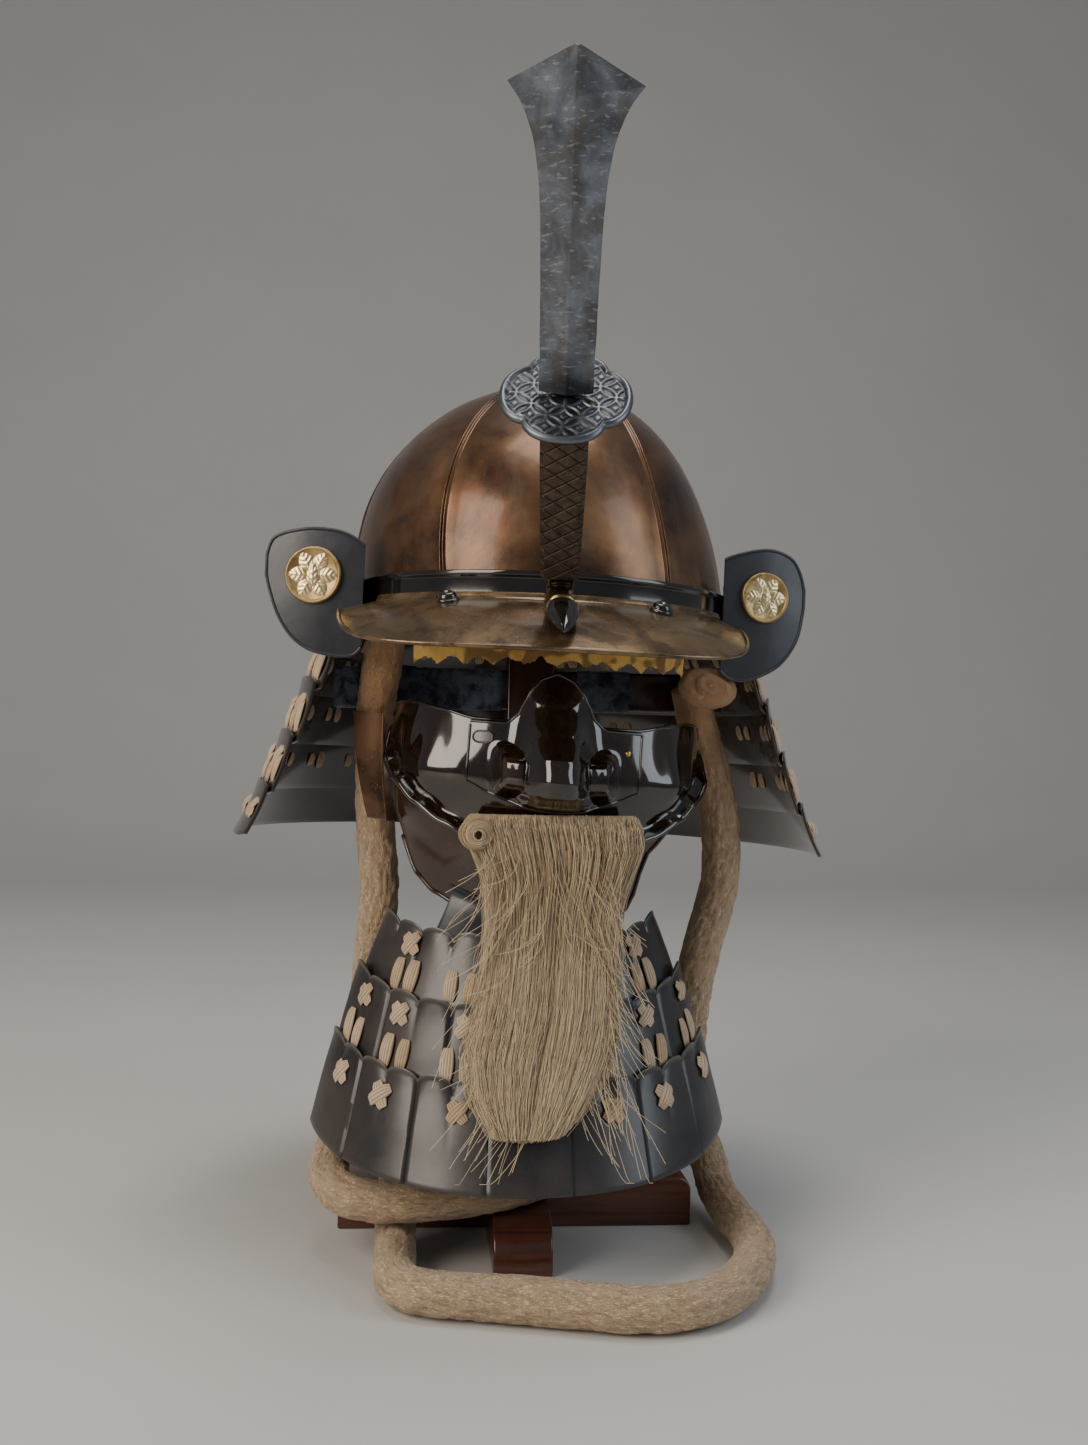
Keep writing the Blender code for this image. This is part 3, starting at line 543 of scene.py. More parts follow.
def finish(name, dark, light, wear=(30.0, 0.2, 0.0), rough=(0.3, 0.4), speck=None, relief=None, more=None,
           coords="Object", **constants):
    """A surface finish: two colours in clouded patches, specks, fine relief, and what more() adds."""
    mat = bpy.data.materials.get(name)
    if mat:
        return mat
    mat = bpy.data.materials.new(name)
    mat.use_nodes = True
    tree = mat.node_tree
    tree.nodes.clear()
    shader = add(tree, "ShaderNodeBsdfPrincipled")
    out = add(tree, "ShaderNodeOutputMaterial")
    tree.links.new(shader.outputs[0], out.inputs[0])
    where = add(tree, "ShaderNodeTexCoord").outputs[coords]
    look = {"mask": use(tree, patches(), {"Vector": where, "Scale": wear[0], "Softness": wear[1], "Amount": wear[2]})[0]}
    look["colour"] = blend(tree, look["mask"], dark, light)
    look["rough"] = remap(tree, look["mask"], 0.0, 1.0, *rough)
    look["height"] = use(tree, grain(), {"Vector": where, "Scale": relief[0]})[0] if relief else None
    if speck:
        scale, size, colour, speck_rough = speck
        dots = use(tree, specks(), {"Vector": where, "Scale": scale, "Size": size})[0]
        look["colour"] = blend(tree, dots, look["colour"], colour)
        look["rough"] = remap(tree, dots, 0.0, 1.0, look["rough"], speck_rough)
    if more:
        more(tree, where, look)
    feed(tree, shader.inputs["Base Color"], look["colour"])
    feed(tree, shader.inputs["Roughness"], look["rough"])
    if "metal" in look:
        feed(tree, shader.inputs["Metallic"], look["metal"])
    if look["height"] is not None:
        strength = relief[1] if relief else 0.3
        distance = relief[2] if relief and len(relief) > 2 else 0.0004
        raised = add(tree, "ShaderNodeBump", {"Height": look["height"], "Strength": strength, "Distance": distance})
        tree.links.new(raised.outputs[0], shader.inputs["Normal"])
    for key, value in constants.items():
        feed(tree, shader.inputs[key.replace("_", " ").title().replace("Ior", "IOR")], value)
    return mat


def attribute(tree, name):
    return add(tree, "ShaderNodeAttribute", attribute_name=name).outputs["Fac"]


# Finishes
def bowl_iron():
    c = colours()

    def more(tree, where, look):
        rust_and_painted_light = use(tree, patches(), {"Vector": where, "Scale": 75.0, "Softness": 0.10, "Amount": -0.08})[0]
        look["colour"] = blend(tree, maths(tree, "MULTIPLY", rust_and_painted_light, 0.45), look["colour"], (0.115, 0.036, 0.018))
        haze = use(tree, patches(), {"Vector": stretched(tree, where, (1.0, 1.0, 0.28)), "Scale": 46.0,
                                     "Softness": 0.14, "Amount": -0.09})[0]
        look["colour"] = blend(tree, maths(tree, "MULTIPLY", haze, 0.40), look["colour"], (0.115, 0.105, 0.098))
        look["rough"] = maths(tree, "ADD", look["rough"], maths(tree, "MULTIPLY", haze, 0.13))

    return finish("bowl iron", c.iron_dark, c.iron_warm, (17.0, 0.17, -0.03), (0.25, 0.34),
                  (900.0, 0.16, (0.42, 0.36, 0.30), 0.6), (1400.0, 0.25, 0.0002), more, metallic=0.72,
                  coat_weight=0.25, coat_roughness=0.12)


def rib_iron():
    # Partly rubbed iron, partly a painted highlight: the pale blue-grey stands in for the light along the raised ribs
    return finish("rib iron with rubbing and painted highlight", (0.060, 0.058, 0.062), (0.30, 0.31, 0.34), (120.0, 0.16, 0.0), (0.24, 0.38),
                  (1500.0, 0.2, (0.02, 0.015, 0.012), 0.6), (1600.0, 0.3, 0.0002), metallic=0.85)


def band_lacquer():
    return finish("black lacquer", (0.0065, 0.006, 0.006), (0.020, 0.015, 0.012), (40.0, 0.25, -0.1), (0.10, 0.22),
                  (1300.0, 0.14, (0.25, 0.21, 0.17), 0.6), (1100.0, 0.12, 0.0002), coat_weight=0.6,
                  coat_roughness=0.06)


def blade_steel():
    def more(tree, where, look):
        stained = use(tree, patches(), {"Vector": stretched(tree, where, (1.0, 0.6, 0.6)), "Scale": 85.0,
                                        "Softness": 0.09, "Amount": -0.02})[0]
        look["colour"] = blend(tree, maths(tree, "MULTIPLY", stained, 0.55), look["colour"], (0.100, 0.085, 0.070))
        scratch = add(tree, "ShaderNodeTexNoise", {
            "Vector": stretched(tree, where, (260.0, 26.0, 900.0), (0.7, 0.3, 0.5)), "Scale": 1.0, "Detail": 3.0,
        }).outputs[0]
        fine = remap(tree, scratch, 0.60, 0.66)
        look["colour"] = blend(tree, maths(tree, "MULTIPLY", fine, 0.35), look["colour"], (0.45, 0.48, 0.52))
        look["height"] = maths(tree, "ADD", look["height"], maths(tree, "MULTIPLY", fine, 0.4))

    return finish("blade steel", (0.085, 0.097, 0.118), (0.235, 0.262, 0.305), (60.0, 0.15, 0.0), (0.27, 0.42),
                  (800.0, 0.20, (0.50, 0.52, 0.55), 0.4), (1300.0, 0.35, 0.0003), more, metallic=0.92)


def guard_iron():
    def more(tree, where, look):
        paler = attribute(tree, "raised")
        look["colour"] = blend(tree, maths(tree, "MULTIPLY", paler, 0.75), look["colour"], (0.185, 0.200, 0.225))

    return finish("guard iron", (0.028, 0.031, 0.038), (0.075, 0.080, 0.092), (90.0, 0.2, 0.0), (0.30, 0.45),
                  (1200.0, 0.16, (0.32, 0.33, 0.35), 0.4), (1500.0, 0.3, 0.0002), more, metallic=0.88)


def hilt_iron():
    def more(tree, where, look):
        rise = use(tree, lines(), {"Vector": where, "Across": -0.88, "Along": 1.36, "Width": 0.10})[0]
        fall = use(tree, lines(), {"Vector": where, "Across": 0.95, "Along": 1.30, "Width": 0.075})[0]
        cut = maths(tree, "MAXIMUM", rise, maths(tree, "MULTIPLY", fall, 0.8))
        look["height"] = maths(tree, "SUBTRACT", look["height"], maths(tree, "MULTIPLY", cut, 2.2))
        look["colour"] = blend(tree, maths(tree, "MULTIPLY", cut, 0.6), look["colour"], (0.010, 0.008, 0.007))

    return finish("engraved hilt iron", (0.042, 0.030, 0.023), (0.120, 0.085, 0.058), (1.9, 0.2, 0.0), (0.34, 0.48),
                  (22.0, 0.22, (0.50, 0.44, 0.34), 0.35), (36.0, 0.55, 0.0006), more, coords="UV", metallic=0.8)


def peak_lacquer():
    def more(tree, where, look):
        worn = use(tree, patches(), {"Vector": where, "Scale": 150.0, "Softness": 0.07, "Amount": -0.10})[0]
        look["colour"] = blend(tree, maths(tree, "MULTIPLY", worn, 0.5), look["colour"], (0.022, 0.012, 0.008))

    return finish("peak lacquer", (0.060, 0.036, 0.020), (0.27, 0.175, 0.085), (28.0, 0.18, -0.02), (0.20, 0.34),
                  (700.0, 0.18, (0.48, 0.42, 0.34), 0.5), (900.0, 0.28, 0.0003), more, metallic=0.6,
                  coat_weight=0.35, coat_roughness=0.10)


def bead_iron():
    return finish("rolled edge iron", (0.16, 0.13, 0.10), (0.50, 0.47, 0.44), (110.0, 0.2, 0.05), (0.22, 0.35),
                  None, (1500.0, 0.3, 0.0002), metallic=0.9)


def acorn_lacquer():
    return finish("acorn lacquer", (0.006, 0.0055, 0.0055), (0.014, 0.011, 0.010), (60.0, 0.25, 0.0), (0.07, 0.14),
                  (1200.0, 0.12, (0.2, 0.17, 0.13), 0.5), None, coat_weight=1.0, coat_roughness=0.04)


def ring_gold():
    return finish("worn gold", (0.42, 0.25, 0.08), (0.80, 0.56, 0.22), (90.0, 0.2, 0.0), (0.22, 0.36),
                  None, (900.0, 0.2, 0.0002), metallic=1.0)


def disc_gold():
    def more(tree, where, look):
        high = attribute(tree, "raised")
        look["colour"] = blend(tree, high, look["colour"], (0.86, 0.70, 0.40))
        look["rough"] = remap(tree, high, 0.0, 1.0, 0.42, 0.27)

    return finish("disc gold", (0.26, 0.17, 0.065), (0.55, 0.40, 0.19), (120.0, 0.2, 0.0), (0.28, 0.42),
                  (1500.0, 0.2, (0.12, 0.09, 0.05), 0.6), (1800.0, 0.3, 0.0002), more, metallic=0.95)


def wing_leather():
    return finish("wing leather", (0.0125, 0.0135, 0.018), (0.040, 0.043, 0.054), (26.0, 0.25, -0.02), (0.30, 0.42),
                  (900.0, 0.15, (0.30, 0.30, 0.31), 0.6), (1500.0, 0.35, 0.0003), coat_weight=0.25,
                  coat_roughness=0.28)


def wing_edge():
    return finish("wing edging", (0.10, 0.10, 0.115), (0.34, 0.33, 0.34), (140.0, 0.2, 0.0), (0.3, 0.45),
                  None, (1500.0, 0.3, 0.0002), metallic=0.5)


def lame_lacquer():
    def more(tree, where, look):
        inside = add(tree, "ShaderNodeSeparateXYZ", {0: where}).outputs
        warm = remap(tree, inside[0], -0.12, 0.16)
        look["colour"] = blend(tree, maths(tree, "MULTIPLY", warm, 0.35), look["colour"], (0.050, 0.027, 0.014))

    return finish("neck guard lacquer", (0.011, 0.0085, 0.0075), (0.034, 0.021, 0.014), (22.0, 0.25, -0.03),
                  (0.12, 0.24), (1100.0, 0.13, (0.22, 0.17, 0.12), 0.5), (700.0, 0.16, 0.0003), more,
                  coat_weight=0.5, coat_roughness=0.08)


def lame_edge():
    # The sheets' cut edges are pale: partly worn lacquer, partly a painted highlight
    return finish("worn lame edge with painted highlight", (0.10, 0.085, 0.07), (0.40, 0.34, 0.28), (160.0, 0.2, 0.0), (0.25, 0.4),
                  None, (1500.0, 0.3, 0.0002), metallic=0.6)


def throat_lacquer():
    def more(tree, where, look):
        parts = add(tree, "ShaderNodeSeparateXYZ", {0: where}).outputs
        # Painted light: the lighter patches turn warm brown on the left, where the warm key light falls, and cool blue
        # on the right
        to_right = remap(tree, parts[0], -0.09, 0.10)
        painted_light_tint = blend(tree, to_right, (0.060, 0.044, 0.034), (0.020, 0.025, 0.034))
        look["colour"] = blend(tree, maths(tree, "MULTIPLY", look["mask"], 0.65), look["colour"], painted_light_tint)
        groove = attribute(tree, "groove")
        look["colour"] = blend(tree, groove, look["colour"], (0.003, 0.003, 0.003))
        # A thin band along each lame's top edge is paler: partly worn lacquer, partly a painted highlight
        paler = attribute(tree, "paler")
        look["colour"] = blend(tree, maths(tree, "MULTIPLY", paler, 0.45), look["colour"], (0.20, 0.185, 0.17))

    return finish("throat guard lacquer", (0.012, 0.012, 0.014), (0.042, 0.036, 0.033), (20.0, 0.2, -0.02),
                  (0.27, 0.42), (800.0, 0.15, (0.30, 0.26, 0.22), 0.6), (1000.0, 0.30, 0.0003), more,
                  coat_weight=0.3, coat_roughness=0.22)


def throat_edge():
    # The lames' cut edges are pale: partly worn lacquer, partly a painted highlight
    return finish("throat guard edge", (0.060, 0.058, 0.058), (0.24, 0.225, 0.21), (160.0, 0.2, 0.0), (0.28, 0.4),
                  None, (1500.0, 0.3, 0.0002), metallic=0.5)


def mask_lacquer():
    c = colours()

    def more(tree, where, look):
        worn = use(tree, patches(), {"Vector": stretched(tree, where, (1.0, 1.0, 0.4)), "Scale": 70.0,
                                     "Softness": 0.08, "Amount": -0.12})[0]
        look["colour"] = blend(tree, maths(tree, "MULTIPLY", worn, 0.5), look["colour"], (0.070, 0.035, 0.016))

    return finish("mask lacquer", tuple(v * 0.5 for v in c.mask), c.mask, (18.0, 0.25, -0.02), (0.07, 0.16),
                  (1200.0, 0.15, (0.55, 0.44, 0.30), 0.5), (500.0, 0.12, 0.0004), more, metallic=0.15,
                  coat_weight=1.0, coat_roughness=0.05)


def jaw_lacquer():
    return finish("jaw lacquer", (0.016, 0.0085, 0.005), (0.052, 0.026, 0.013), (34.0, 0.2, 0.0), (0.16, 0.30),
                  (620.0, 0.22, (0.22, 0.095, 0.035), 0.6), (600.0, 0.2, 0.0004), metallic=0.2,
                  coat_weight=0.5, coat_roughness=0.14)


def plate_brown():
    return finish("side plate lacquer", (0.030, 0.020, 0.015), (0.16, 0.085, 0.045), (19.0, 0.12, 0.0),
                  (0.22, 0.42), (600.0, 0.22, (0.42, 0.30, 0.20), 0.5), (900.0, 0.25, 0.0003), metallic=0.3,
                  coat_weight=0.3, coat_roughness=0.2)


def silk():
    c = colours()

    def more(tree, where, look):
        tone = attribute(tree, "tone")
        look["colour"] = blend(tree, tone, look["colour"], (0.80, 0.66, 0.48))
        # Painted shade: the grooves between the lace's strands are darkened
        groove = attribute(tree, "groove")
        look["colour"] = blend(tree, maths(tree, "MULTIPLY", groove, 0.72), look["colour"], (0.10, 0.055, 0.028))

    return finish("faded silk", tuple(v * 0.62 for v in c.silk), c.silk, (260.0, 0.2, 0.05), (0.65, 0.85),
                  None, (2600.0, 0.7, 0.0004), more, sheen_weight=0.35, sheen_roughness=0.4)


def lining():
    def more(tree, where, look):
        figure = add(tree, "ShaderNodeTexVoronoi", {"Vector": where, "Scale": 115.0}, feature="SMOOTH_F1").outputs[0]
        ink = remap(tree, figure, 0.46, 0.54)
        look["colour"] = blend(tree, maths(tree, "MULTIPLY", ink, 0.75), look["colour"], (0.10, 0.045, 0.015))

    return finish("printed lining leather", (0.40, 0.20, 0.045), (0.78, 0.50, 0.13), (45.0, 0.2, 0.05), (0.6, 0.8),
                  None, (1200.0, 0.5, 0.0003), more)


def stand_wood():
    def more(tree, where, look):
        rings = add(tree, "ShaderNodeTexNoise", {
            "Vector": stretched(tree, where, (10.0, 150.0, 150.0)), "Scale": 1.0, "Detail": 5.0, "Distortion": 0.8,
        }).outputs[0]
        dark = remap(tree, rings, 0.42, 0.62)
        look["colour"] = blend(tree, maths(tree, "MULTIPLY", dark, 0.65), look["colour"], (0.030, 0.009, 0.006))
        look["height"] = maths(tree, "ADD", look["height"], maths(tree, "MULTIPLY", dark, 0.3))

    return finish("red-brown stand lacquer", (0.070, 0.022, 0.013), (0.165, 0.055, 0.030), (14.0, 0.25, 0.0),
                  (0.22, 0.38), (500.0, 0.16, (0.25, 0.14, 0.09), 0.5), (600.0, 0.18, 0.0004), more,
                  coat_weight=0.5, coat_roughness=0.14)


def post_wood():
    def more(tree, where, look):
        rings = add(tree, "ShaderNodeTexNoise", {
            "Vector": stretched(tree, where, (150.0, 150.0, 10.0)), "Scale": 1.0, "Detail": 5.0, "Distortion": 0.8,
        }).outputs[0]
        dark = remap(tree, rings, 0.42, 0.62)
        look["colour"] = blend(tree, maths(tree, "MULTIPLY", dark, 0.65), look["colour"], (0.014, 0.006, 0.004))
        look["height"] = maths(tree, "ADD", look["height"], maths(tree, "MULTIPLY", dark, 0.3))

    return finish("dark post lacquer", (0.030, 0.012, 0.008), (0.075, 0.030, 0.017), (14.0, 0.25, 0.0),
                  (0.22, 0.38), None, (600.0, 0.18, 0.0004), more, coat_weight=0.5, coat_roughness=0.14)


def velvet():
    return finish("worn velvet", (0.018, 0.021, 0.034), (0.135, 0.155, 0.215), (110.0, 0.09, 0.02), (0.85, 0.95),
                  (1700.0, 0.30, (0.32, 0.35, 0.43), 0.9), (2400.0, 1.0, 0.0008), sheen_weight=0.6,
                  sheen_roughness=0.35)


def horsehair():
    c = colours()

    def more(tree, where, look):
        tone = attribute(tree, "tone")
        pale = blend(tree, tone, tuple(v * w for v, w in zip(c.hair, (0.42, 0.34, 0.26))), c.hair)
        tips = attribute(tree, "tip")
        look["colour"] = blend(tree, tips, pale, (0.84, 0.70, 0.48))

    return finish("pale horsehair", (0.4, 0.3, 0.2), (0.6, 0.5, 0.3), (60.0, 0.2, 0.0), (0.36, 0.48),
                  None, None, more, sheen_weight=0.25, sheen_roughness=0.4, specular_ior_level=0.55)


def crepe():
    c = colours()

    def more(tree, where, look):
        warped = add(tree, "ShaderNodeTexNoise", {
            "Vector": stretched(tree, where, (110.0, 36.0, 1.0)), "Scale": 1.0, "Detail": 4.0, "Distortion": 0.9,
        }).outputs[0]
        crinkle = maths(tree, "ABSOLUTE", maths(tree, "SUBTRACT", warped, 0.5))
        ridge = remap(tree, crinkle, 0.10, 0.0)
        look["height"] = maths(tree, "SUBTRACT", look["height"], maths(tree, "MULTIPLY", ridge, 0.9))
        # Painted shade: the crinkles' hollows and crease lines are darkened
        deep = maths(tree, "MULTIPLY", attribute(tree, "groove"), 0.62)
        look["colour"] = blend(tree, deep, look["colour"], (0.24, 0.125, 0.055))
        look["colour"] = blend(tree, maths(tree, "MULTIPLY", ridge, 0.35), look["colour"], (0.33, 0.19, 0.09))
        # Painted light: an orange tint on the cord's upper parts, on one short stretch of it and on the whole bun,
        # where the warm light falls
        rust_and_painted_light = attribute(tree, "warm")
        look["colour"] = blend(tree, rust_and_painted_light, look["colour"], (0.52, 0.245, 0.085))

    return finish("crepe silk", tuple(v * 0.78 for v in c.crepe), c.crepe, (9.0, 0.25, 0.0), (0.78, 0.9),
                  None, (90.0, 0.85, 0.0007), more, coords="UV", sheen_weight=0.3, sheen_roughness=0.5)


# Geometry node trees
def geometry_tree(name, inputs):
    tree = bpy.data.node_groups.new(name, "GeometryNodeTree")
    tree.interface.new_socket("Geometry", in_out="INPUT", socket_type="NodeSocketGeometry")
    for label, kind in inputs:
        tree.interface.new_socket(label, in_out="INPUT", socket_type="NodeSocket" + kind)
    tree.interface.new_socket("Geometry", in_out="OUTPUT", socket_type="NodeSocketGeometry")
    return tree, tree.nodes.new("NodeGroupInput").outputs, tree.nodes.new("NodeGroupOutput").inputs[0]


def closing(tree, geometry, finish_socket, end):
    real = add(tree, "GeometryNodeRealizeInstances", {0: geometry})
    set_finish = add(tree, "GeometryNodeSetMaterial", {"Geometry": real.outputs[0], "Material": finish_socket})
    tree.links.new(set_finish.outputs[0], end)


def named(tree, name, kind):
    node = add(tree, "GeometryNodeInputNamedAttribute", {0: name}, data_type=kind)
    return next(o for o in node.outputs if o.enabled)


def strands_tree():
    """Sweeps a small round along every line, as thick as the line's own width says."""
    found = bpy.data.node_groups.get("swept strands")
    if found:
        return found
    tree, start, end = geometry_tree("swept strands", [
        ("Thickness", "Float"), ("Sides", "Int"), ("Finish", "Material"),
    ])
    line = add(tree, "GeometryNodeMeshToCurve", {0: start["Geometry"]}).outputs[0]
    sized = add(tree, "GeometryNodeSetCurveRadius", {"Curve": line, "Radius": named(tree, "width", "FLOAT")}).outputs[0]
    round_one = add(tree, "GeometryNodeCurvePrimitiveCircle", {
        "Resolution": start["Sides"], "Radius": start["Thickness"],
    }).outputs[0]
    swept = add(tree, "GeometryNodeCurveToMesh", {0: sized, 1: round_one}).outputs[0]
    closing(tree, swept, start["Finish"], end)
    return tree


def scatter_tree():
    """Sets a copy of a piece at every point, turned and sized as the point says."""
    found = bpy.data.node_groups.get("set at points")
    if found:
        return found
    tree, start, end = geometry_tree("set at points", [("Piece", "Object"), ("Finish", "Material")])
    piece = add(tree, "GeometryNodeObjectInfo", {"Object": start["Piece"]}).outputs["Geometry"]
    copies = add(tree, "GeometryNodeInstanceOnPoints", {
        "Points": start["Geometry"], "Instance": piece, "Rotation": named(tree, "turned", "FLOAT_VECTOR"),
        "Scale": named(tree, "grown", "FLOAT_VECTOR"),
    }).outputs[0]
    closing(tree, copies, start["Finish"], end)
    return tree


def through_nodes(source, tree, values):
    """Runs a geometry tree on a mesh and gives the result as a plain mesh."""
    obj = bpy.data.objects.new("blank", source)
    bpy.context.scene.collection.objects.link(obj)
    modifier = obj.modifiers.new("grown", "NODES")
    modifier.node_group = tree
    for item in tree.interface.items_tree:
        if item.item_type == "SOCKET" and item.in_out == "INPUT" and item.name in values:
            modifier[item.identifier] = values[item.name]
    return applied(obj)


def strand_mesh(name, points, width, values):
    """Lines as a mesh: points is (strands, steps, 3) in millimetres; width and values are per point."""
    count, steps = points.shape[:2]
    mesh = bpy.data.meshes.new(name)
    mesh.vertices.add(count * steps)
    mesh.vertices.foreach_set("co", (points * MM).astype(np.float32).ravel())
    first = np.arange(count)[:, None] * steps + np.arange(steps - 1)[None, :]
    mesh.edges.add(count * (steps - 1))
    mesh.edges.foreach_set("vertices", np.stack([first, first + 1], -1).astype(np.int32).ravel())
    for label, data in {"width": width, **values}.items():
        layer = mesh.attributes.new(label, "FLOAT", "POINT")
        layer.data.foreach_set("value", np.broadcast_to(data, (count, steps)).astype(np.float32).ravel())
    return mesh


def strands(name, points, width, values, mat, sides, thickness, replaces=()):
    source = strand_mesh(name, points, width, values)
    mesh = through_nodes(source, strands_tree(), {"Thickness": thickness, "Sides": sides, "Finish": mat})
    return finished(name, mesh, mat, replaces, smooth=None)


def scattered(name, places, unit, mat):
    """Copies of a unit mesh, one at each (matrix in millimetres, size, shade) place, as one piece."""
    source = bpy.data.meshes.new(name)
    source.from_pydata([matrix.translation * MM for matrix, _, _ in places], [], [])
    # A new attribute moves the older ones, so each is filled before the next is made
    for label, kind, field, data in (
        ("turned", "FLOAT_VECTOR", "vector", [matrix.to_3x3().normalized().to_euler() for matrix, _, _ in places]),
        ("grown", "FLOAT_VECTOR", "vector", [size for _, size, _ in places]),
        ("tone", "FLOAT", "value", [shade for _, _, shade in places]),
    ):
        layer = source.attributes.new(label, kind, "POINT")
        layer.data.foreach_set(field, np.array([tuple(row) if field == "vector" else row for row in data]).ravel())
    holder = bpy.data.objects.new(name + "_unit", unit)
    bpy.context.scene.collection.objects.link(holder)
    mesh = through_nodes(source, scatter_tree(), {"Piece": holder, "Finish": mat})
    bpy.data.objects.remove(holder, do_unlink=True)
    return finished(name, mesh, mat, (), smooth=None)


# Bowl
def bowl_point(degrees, tau, lift=0.0):
    if tau < 0:
        return oval(BOWL_A + lift, BOWL_B + lift, degrees, tau * 10.0)
    climb = math.radians(90 * tau)
    reach = math.cos(climb) ** 0.92
    z = (BOWL_H + lift) * math.sin(climb) + 3.0 * max(0.0, tau - 0.75) / 0.25
    p = oval((BOWL_A + lift) * reach, (BOWL_B + lift) * reach, degrees, z)
    p.x -= BOWL_SWAY * math.sin(math.pi * min(1.0, max(0.0, z / 120.0)))
    return p


def fine_plate(name, start, end, across=26, up=40):
    """One plate of the bowl: its two edges roll up into round ribs, and the iron is softly hammered."""
    height = sizes().rib_height / MM
    dents = sizes().hammering / MM
    taus = [-0.9, -0.45, -0.02] + [BOWL_TOP * (k / (up - 1)) ** 0.93 for k in range(up)]
    roll = [(0.0, 0.15), (0.10, 0.62), (0.30, 0.95), (0.52, 1.0), (0.76, 0.72), (1.0, 0.26), (1.22, 0.05)]
    bm = bmesh.new()
    loops = []
    for tau in taus:
        mid = bowl_point(0.5 * (start + end), tau)
        radius = max(8.0, math.hypot(mid.x, mid.y))
        gap = math.degrees(GAP * 0.55 / radius)
        rib = math.degrees(RIB_W / radius)
        a, b = start + gap, end - gap
        tall = height if tau >= 0 else 0.0
        row = [(a + rib * s, tall * h) for s, h in roll]
        inner_a, inner_b = a + rib * 1.5, b - rib * 1.5
        row += [(lerp(inner_a, inner_b, k / across), 0.0) for k in range(across + 1)]
        row += [(b - rib * s, tall * h) for s, h in roll[::-1]]
        outer = []
        for degrees, lift in row:
            p = bowl_point(degrees, tau)
            dent = noise.noise(p * 0.055) * 1.3 + noise.noise(p * 0.17) * 0.6
            outer.append(bowl_point(degrees, tau, lift + dents * dent))
        inner = [bowl_point(degrees, tau, -BOWL_T) for degrees, _ in row]
        loops.append(outer + inner[::-1])
    rows = skin(bm, loops, closed=True)
    lid(bm, rows[0])
    lid(bm, rows[-1][::-1])
    edge = len(roll)
    count = len(loops[0])
    width = count // 2
    # The ribs' faces take the pale rib iron: partly rubbing, partly a painted highlight
    for i, face in enumerate(bm.faces):
        j = i % count if i < (len(loops) - 1) * count else width
        if j < edge - 2 or width - edge < j < width - 1:
            face.material_index = 1
    made("bowl_" + name, bm, [bowl_iron(), rib_iron()], "bowl_plate_" + name, HELMET, 55.0)


def build_bowl():
    for name, start, end in zip(PLATE_NAMES, SEAMS, SEAMS[1:]):
        fine_plate(name, start, end)
    z = bowl_point(0, BOWL_TOP, 1.3).z + 2 * GAP
    bm = bmesh.new()
    turned(bm, [
        (1.6, z + 2.6), (2.4, z + 4.4), (4.2, z + 5.2), (5.4, z + 4.5), (6.2, z + 4.0), (9.0, z + 3.9), (12.2, z + 3.0),
        (14.0, z + 2.2), (15.0, z + 1.9), (15.5, z + 1.2), (15.5, z + 0.2), (15.2, z), (1.0, z),
    ], 72)
    made("crown_ring", bm, [bowl_iron()], "crown_boss", HELMET)
    section = [
        (2.4, BAND_FOOT), (2.4, BAND_TOP), (2.9, BAND_TOP + 0.9), (3.7, BAND_TOP + 1.35), (4.5, BAND_TOP + 0.9),
        (4.9, BAND_TOP - 0.2), (4.6, BAND_TOP - 1.4), (3.8, BAND_TOP - 2.2), (3.6, BAND_TOP - 3.0), (3.6, BAND_FOOT),
    ]
    steps = 180
    bm = bmesh.new()
    ring = [[oval(BOWL_A + o, BOWL_B + o, 360.0 * k / steps, z) for o, z in section] for k in range(steps)]
    skin(bm, ring + [ring[0]], closed=True)
    made("band", bm, [band_lacquer()], "waist_band", HELMET)


# Peak
def peak_rim(degrees):
    side = degrees / PEAK_SPAN
    a = side * math.pi / 2
    x = PEAK_SHIFT + PEAK_HALF * math.copysign(abs(math.sin(a)) ** 0.80, a)
    return Vector((x, -88.0 - 86.0 * max(0.0, math.cos(a)) ** 0.62, -40.0 + 21.0 * abs(side) ** 4.0))


def peak_line(degrees, rows):
    root = oval(BOWL_A + 5.7, BOWL_B + 5.7, degrees, -8.6)
    bend = oval(BOWL_A + 7.2, BOWL_B + 7.2, degrees, -12.2)
    rim = peak_rim(degrees)
    line = [root, root.lerp(bend, 0.5) + Vector((0, 0, -0.25)), bend]
    for j in range(1, rows + 1):
        t = j / rows
        rise = 2.0 * math.sin(math.pi * t) * (1 - abs(degrees / PEAK_SPAN) ** 4)
        p = bend.lerp(rim, t)
        dent = noise.noise(p * 0.06) * 0.30 + noise.noise(p * 0.2) * 0.10
        line.append(p + Vector((0, 0, rise + dent * math.sin(math.pi * t))))
    return line


